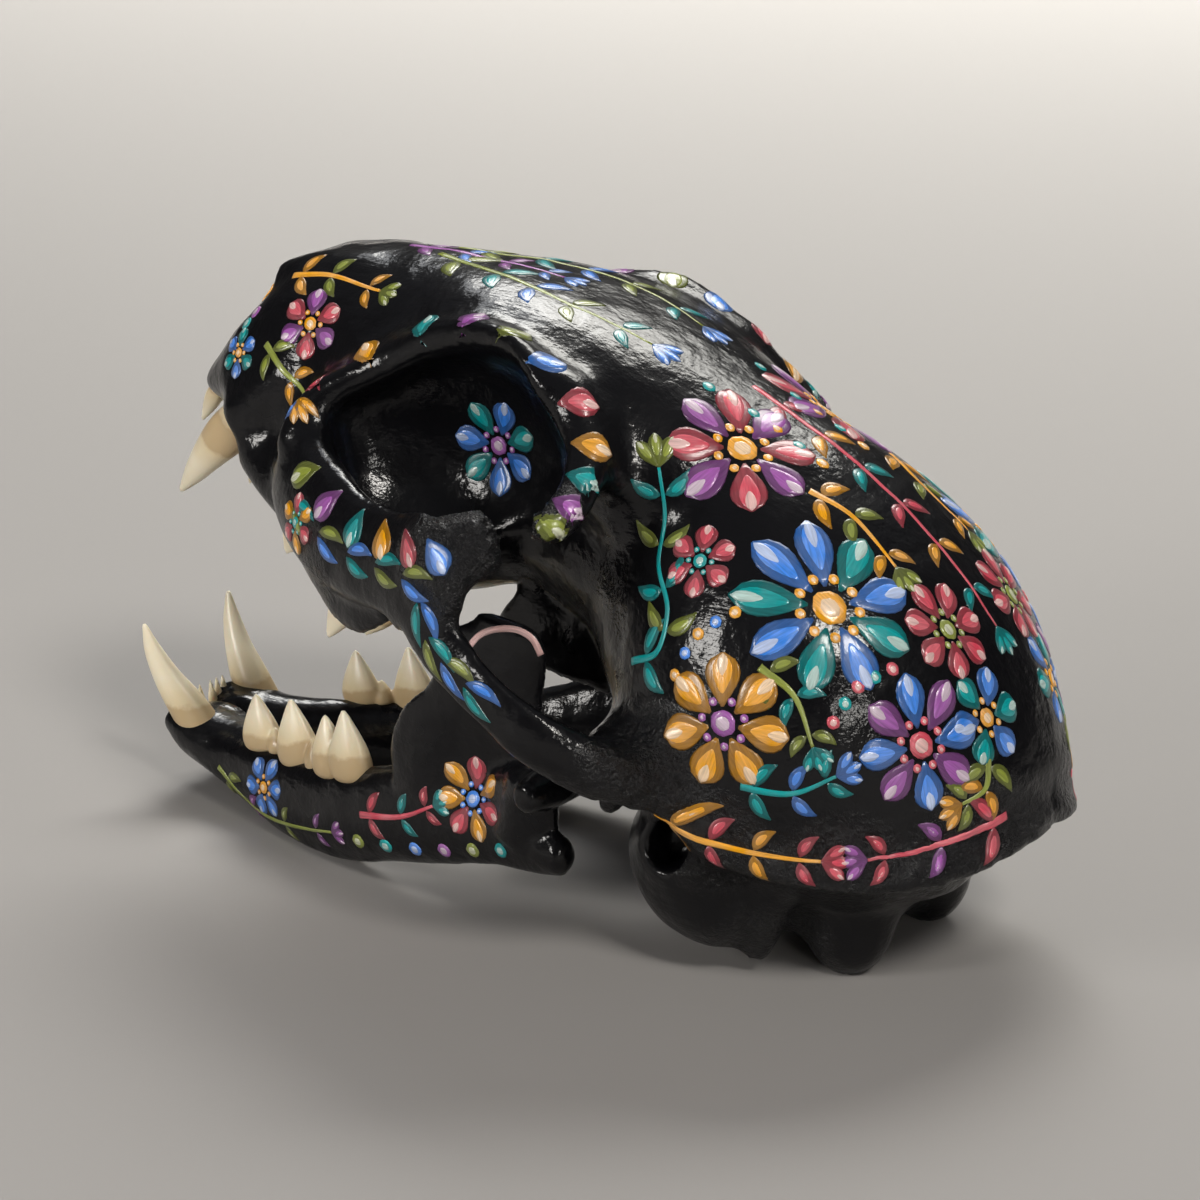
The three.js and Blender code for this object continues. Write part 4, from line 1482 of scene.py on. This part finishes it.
def add_floor():
    """Wide floor that curves up to a low wall all round, far from the skull."""
    bm = bmesh.new()
    bmesh.ops.create_grid(bm, x_segments=64, y_segments=64, size=4)
    for point in bm.verts:
        point.co.z = 0.7 * max(0, point.co.length - FLAT_FLOOR) ** 2
    floor = as_object(bm, "floor")
    floor.data.shade_smooth()
    floor.data.materials.append(studio_floor())


# --- Operators -------------------------------------------------------------------------------


class SKULL_OT_cranium(bpy.types.Operator):
    """Build the cranium"""

    bl_idname = "skull.cranium"
    bl_label = "Cranium"

    def execute(self, context):
        build_cranium()
        return {"FINISHED"}


class SKULL_OT_lower_jaw(bpy.types.Operator):
    """Build both halves of the lower jaw"""

    bl_idname = "skull.lower_jaw"
    bl_label = "Lower jaw"

    def execute(self, context):
        build_jaw(1, "jaw_left", "mandible_left")
        build_jaw(-1, "jaw_right", "mandible_right")
        return {"FINISHED"}


class SKULL_OT_teeth(bpy.types.Operator):
    """Build the canines, cheek teeth and incisors"""

    bl_idname = "skull.teeth"
    bl_label = "Teeth"

    def execute(self, context):
        build_teeth("upper_teeth", UPPER_TEETH, 1.0, cranium_place())
        build_teeth("lower_teeth", LOWER_TEETH, 10.5, jaw_place())
        for name, side in (("left", 1), ("right", -1)):
            build_canine(f"upper_canine_{name}", UPPER_CANINE, side, cranium_place(), 0.5)
            build_canine(f"lower_canine_{name}", LOWER_CANINE, side, jaw_place(), 12)
        return {"FINISHED"}


class SKULL_OT_ornament(bpy.types.Operator):
    """Paint flowers, leaves and dots on the bones"""

    bl_idname = "skull.ornament"
    bl_label = "Ornament"

    def execute(self, context):
        for name, side in (("left", 1), ("right", -1)):
            paint_cranium(side, name)
            paint_jaw(side, name)
        return {"FINISHED"}


class SKULL_OT_stage(bpy.types.Operator):
    """Add the floor, the soft lights and the camera"""

    bl_idname = "skull.stage"
    bl_label = "Stage"

    def execute(self, context):
        add_camera()
        add_floor()
        for light in LIGHTS:
            add_light(*light)
        add_world(context.scene)
        return {"FINISHED"}


class SKULL_PT_panel(bpy.types.Panel):
    """Skull tools in the sidebar"""

    bl_label = "Painted Cat Skull"
    bl_space_type = "VIEW_3D"
    bl_region_type = "UI"
    bl_category = "Skull"

    def draw(self, context):
        for group in (context.scene.skull_sizes, context.scene.skull_colours):
            for name in group.__annotations__:
                self.layout.prop(group, name)
        for tool in OPERATORS:
            self.layout.operator(tool.bl_idname)


OPERATORS = (
    SKULL_OT_stage,
    SKULL_OT_cranium,
    SKULL_OT_lower_jaw,
    SKULL_OT_teeth,
    SKULL_OT_ornament,
)
CLASSES = (SkullSizes, SkullColours, *OPERATORS, SKULL_PT_panel)


def register():
    for kind in CLASSES:
        bpy.utils.register_class(kind)
    bpy.types.Scene.skull_sizes = bpy.props.PointerProperty(type=SkullSizes)
    bpy.types.Scene.skull_colours = bpy.props.PointerProperty(type=SkullColours)


def unregister():
    del bpy.types.Scene.skull_colours
    del bpy.types.Scene.skull_sizes
    for kind in reversed(CLASSES):
        bpy.utils.unregister_class(kind)


def main():
    register()
    bpy.ops.skull.stage()
    bpy.ops.skull.cranium()
    bpy.ops.skull.lower_jaw()
    bpy.ops.skull.teeth()
    bpy.ops.skull.ornament()


if __name__ == "__main__":
    main()
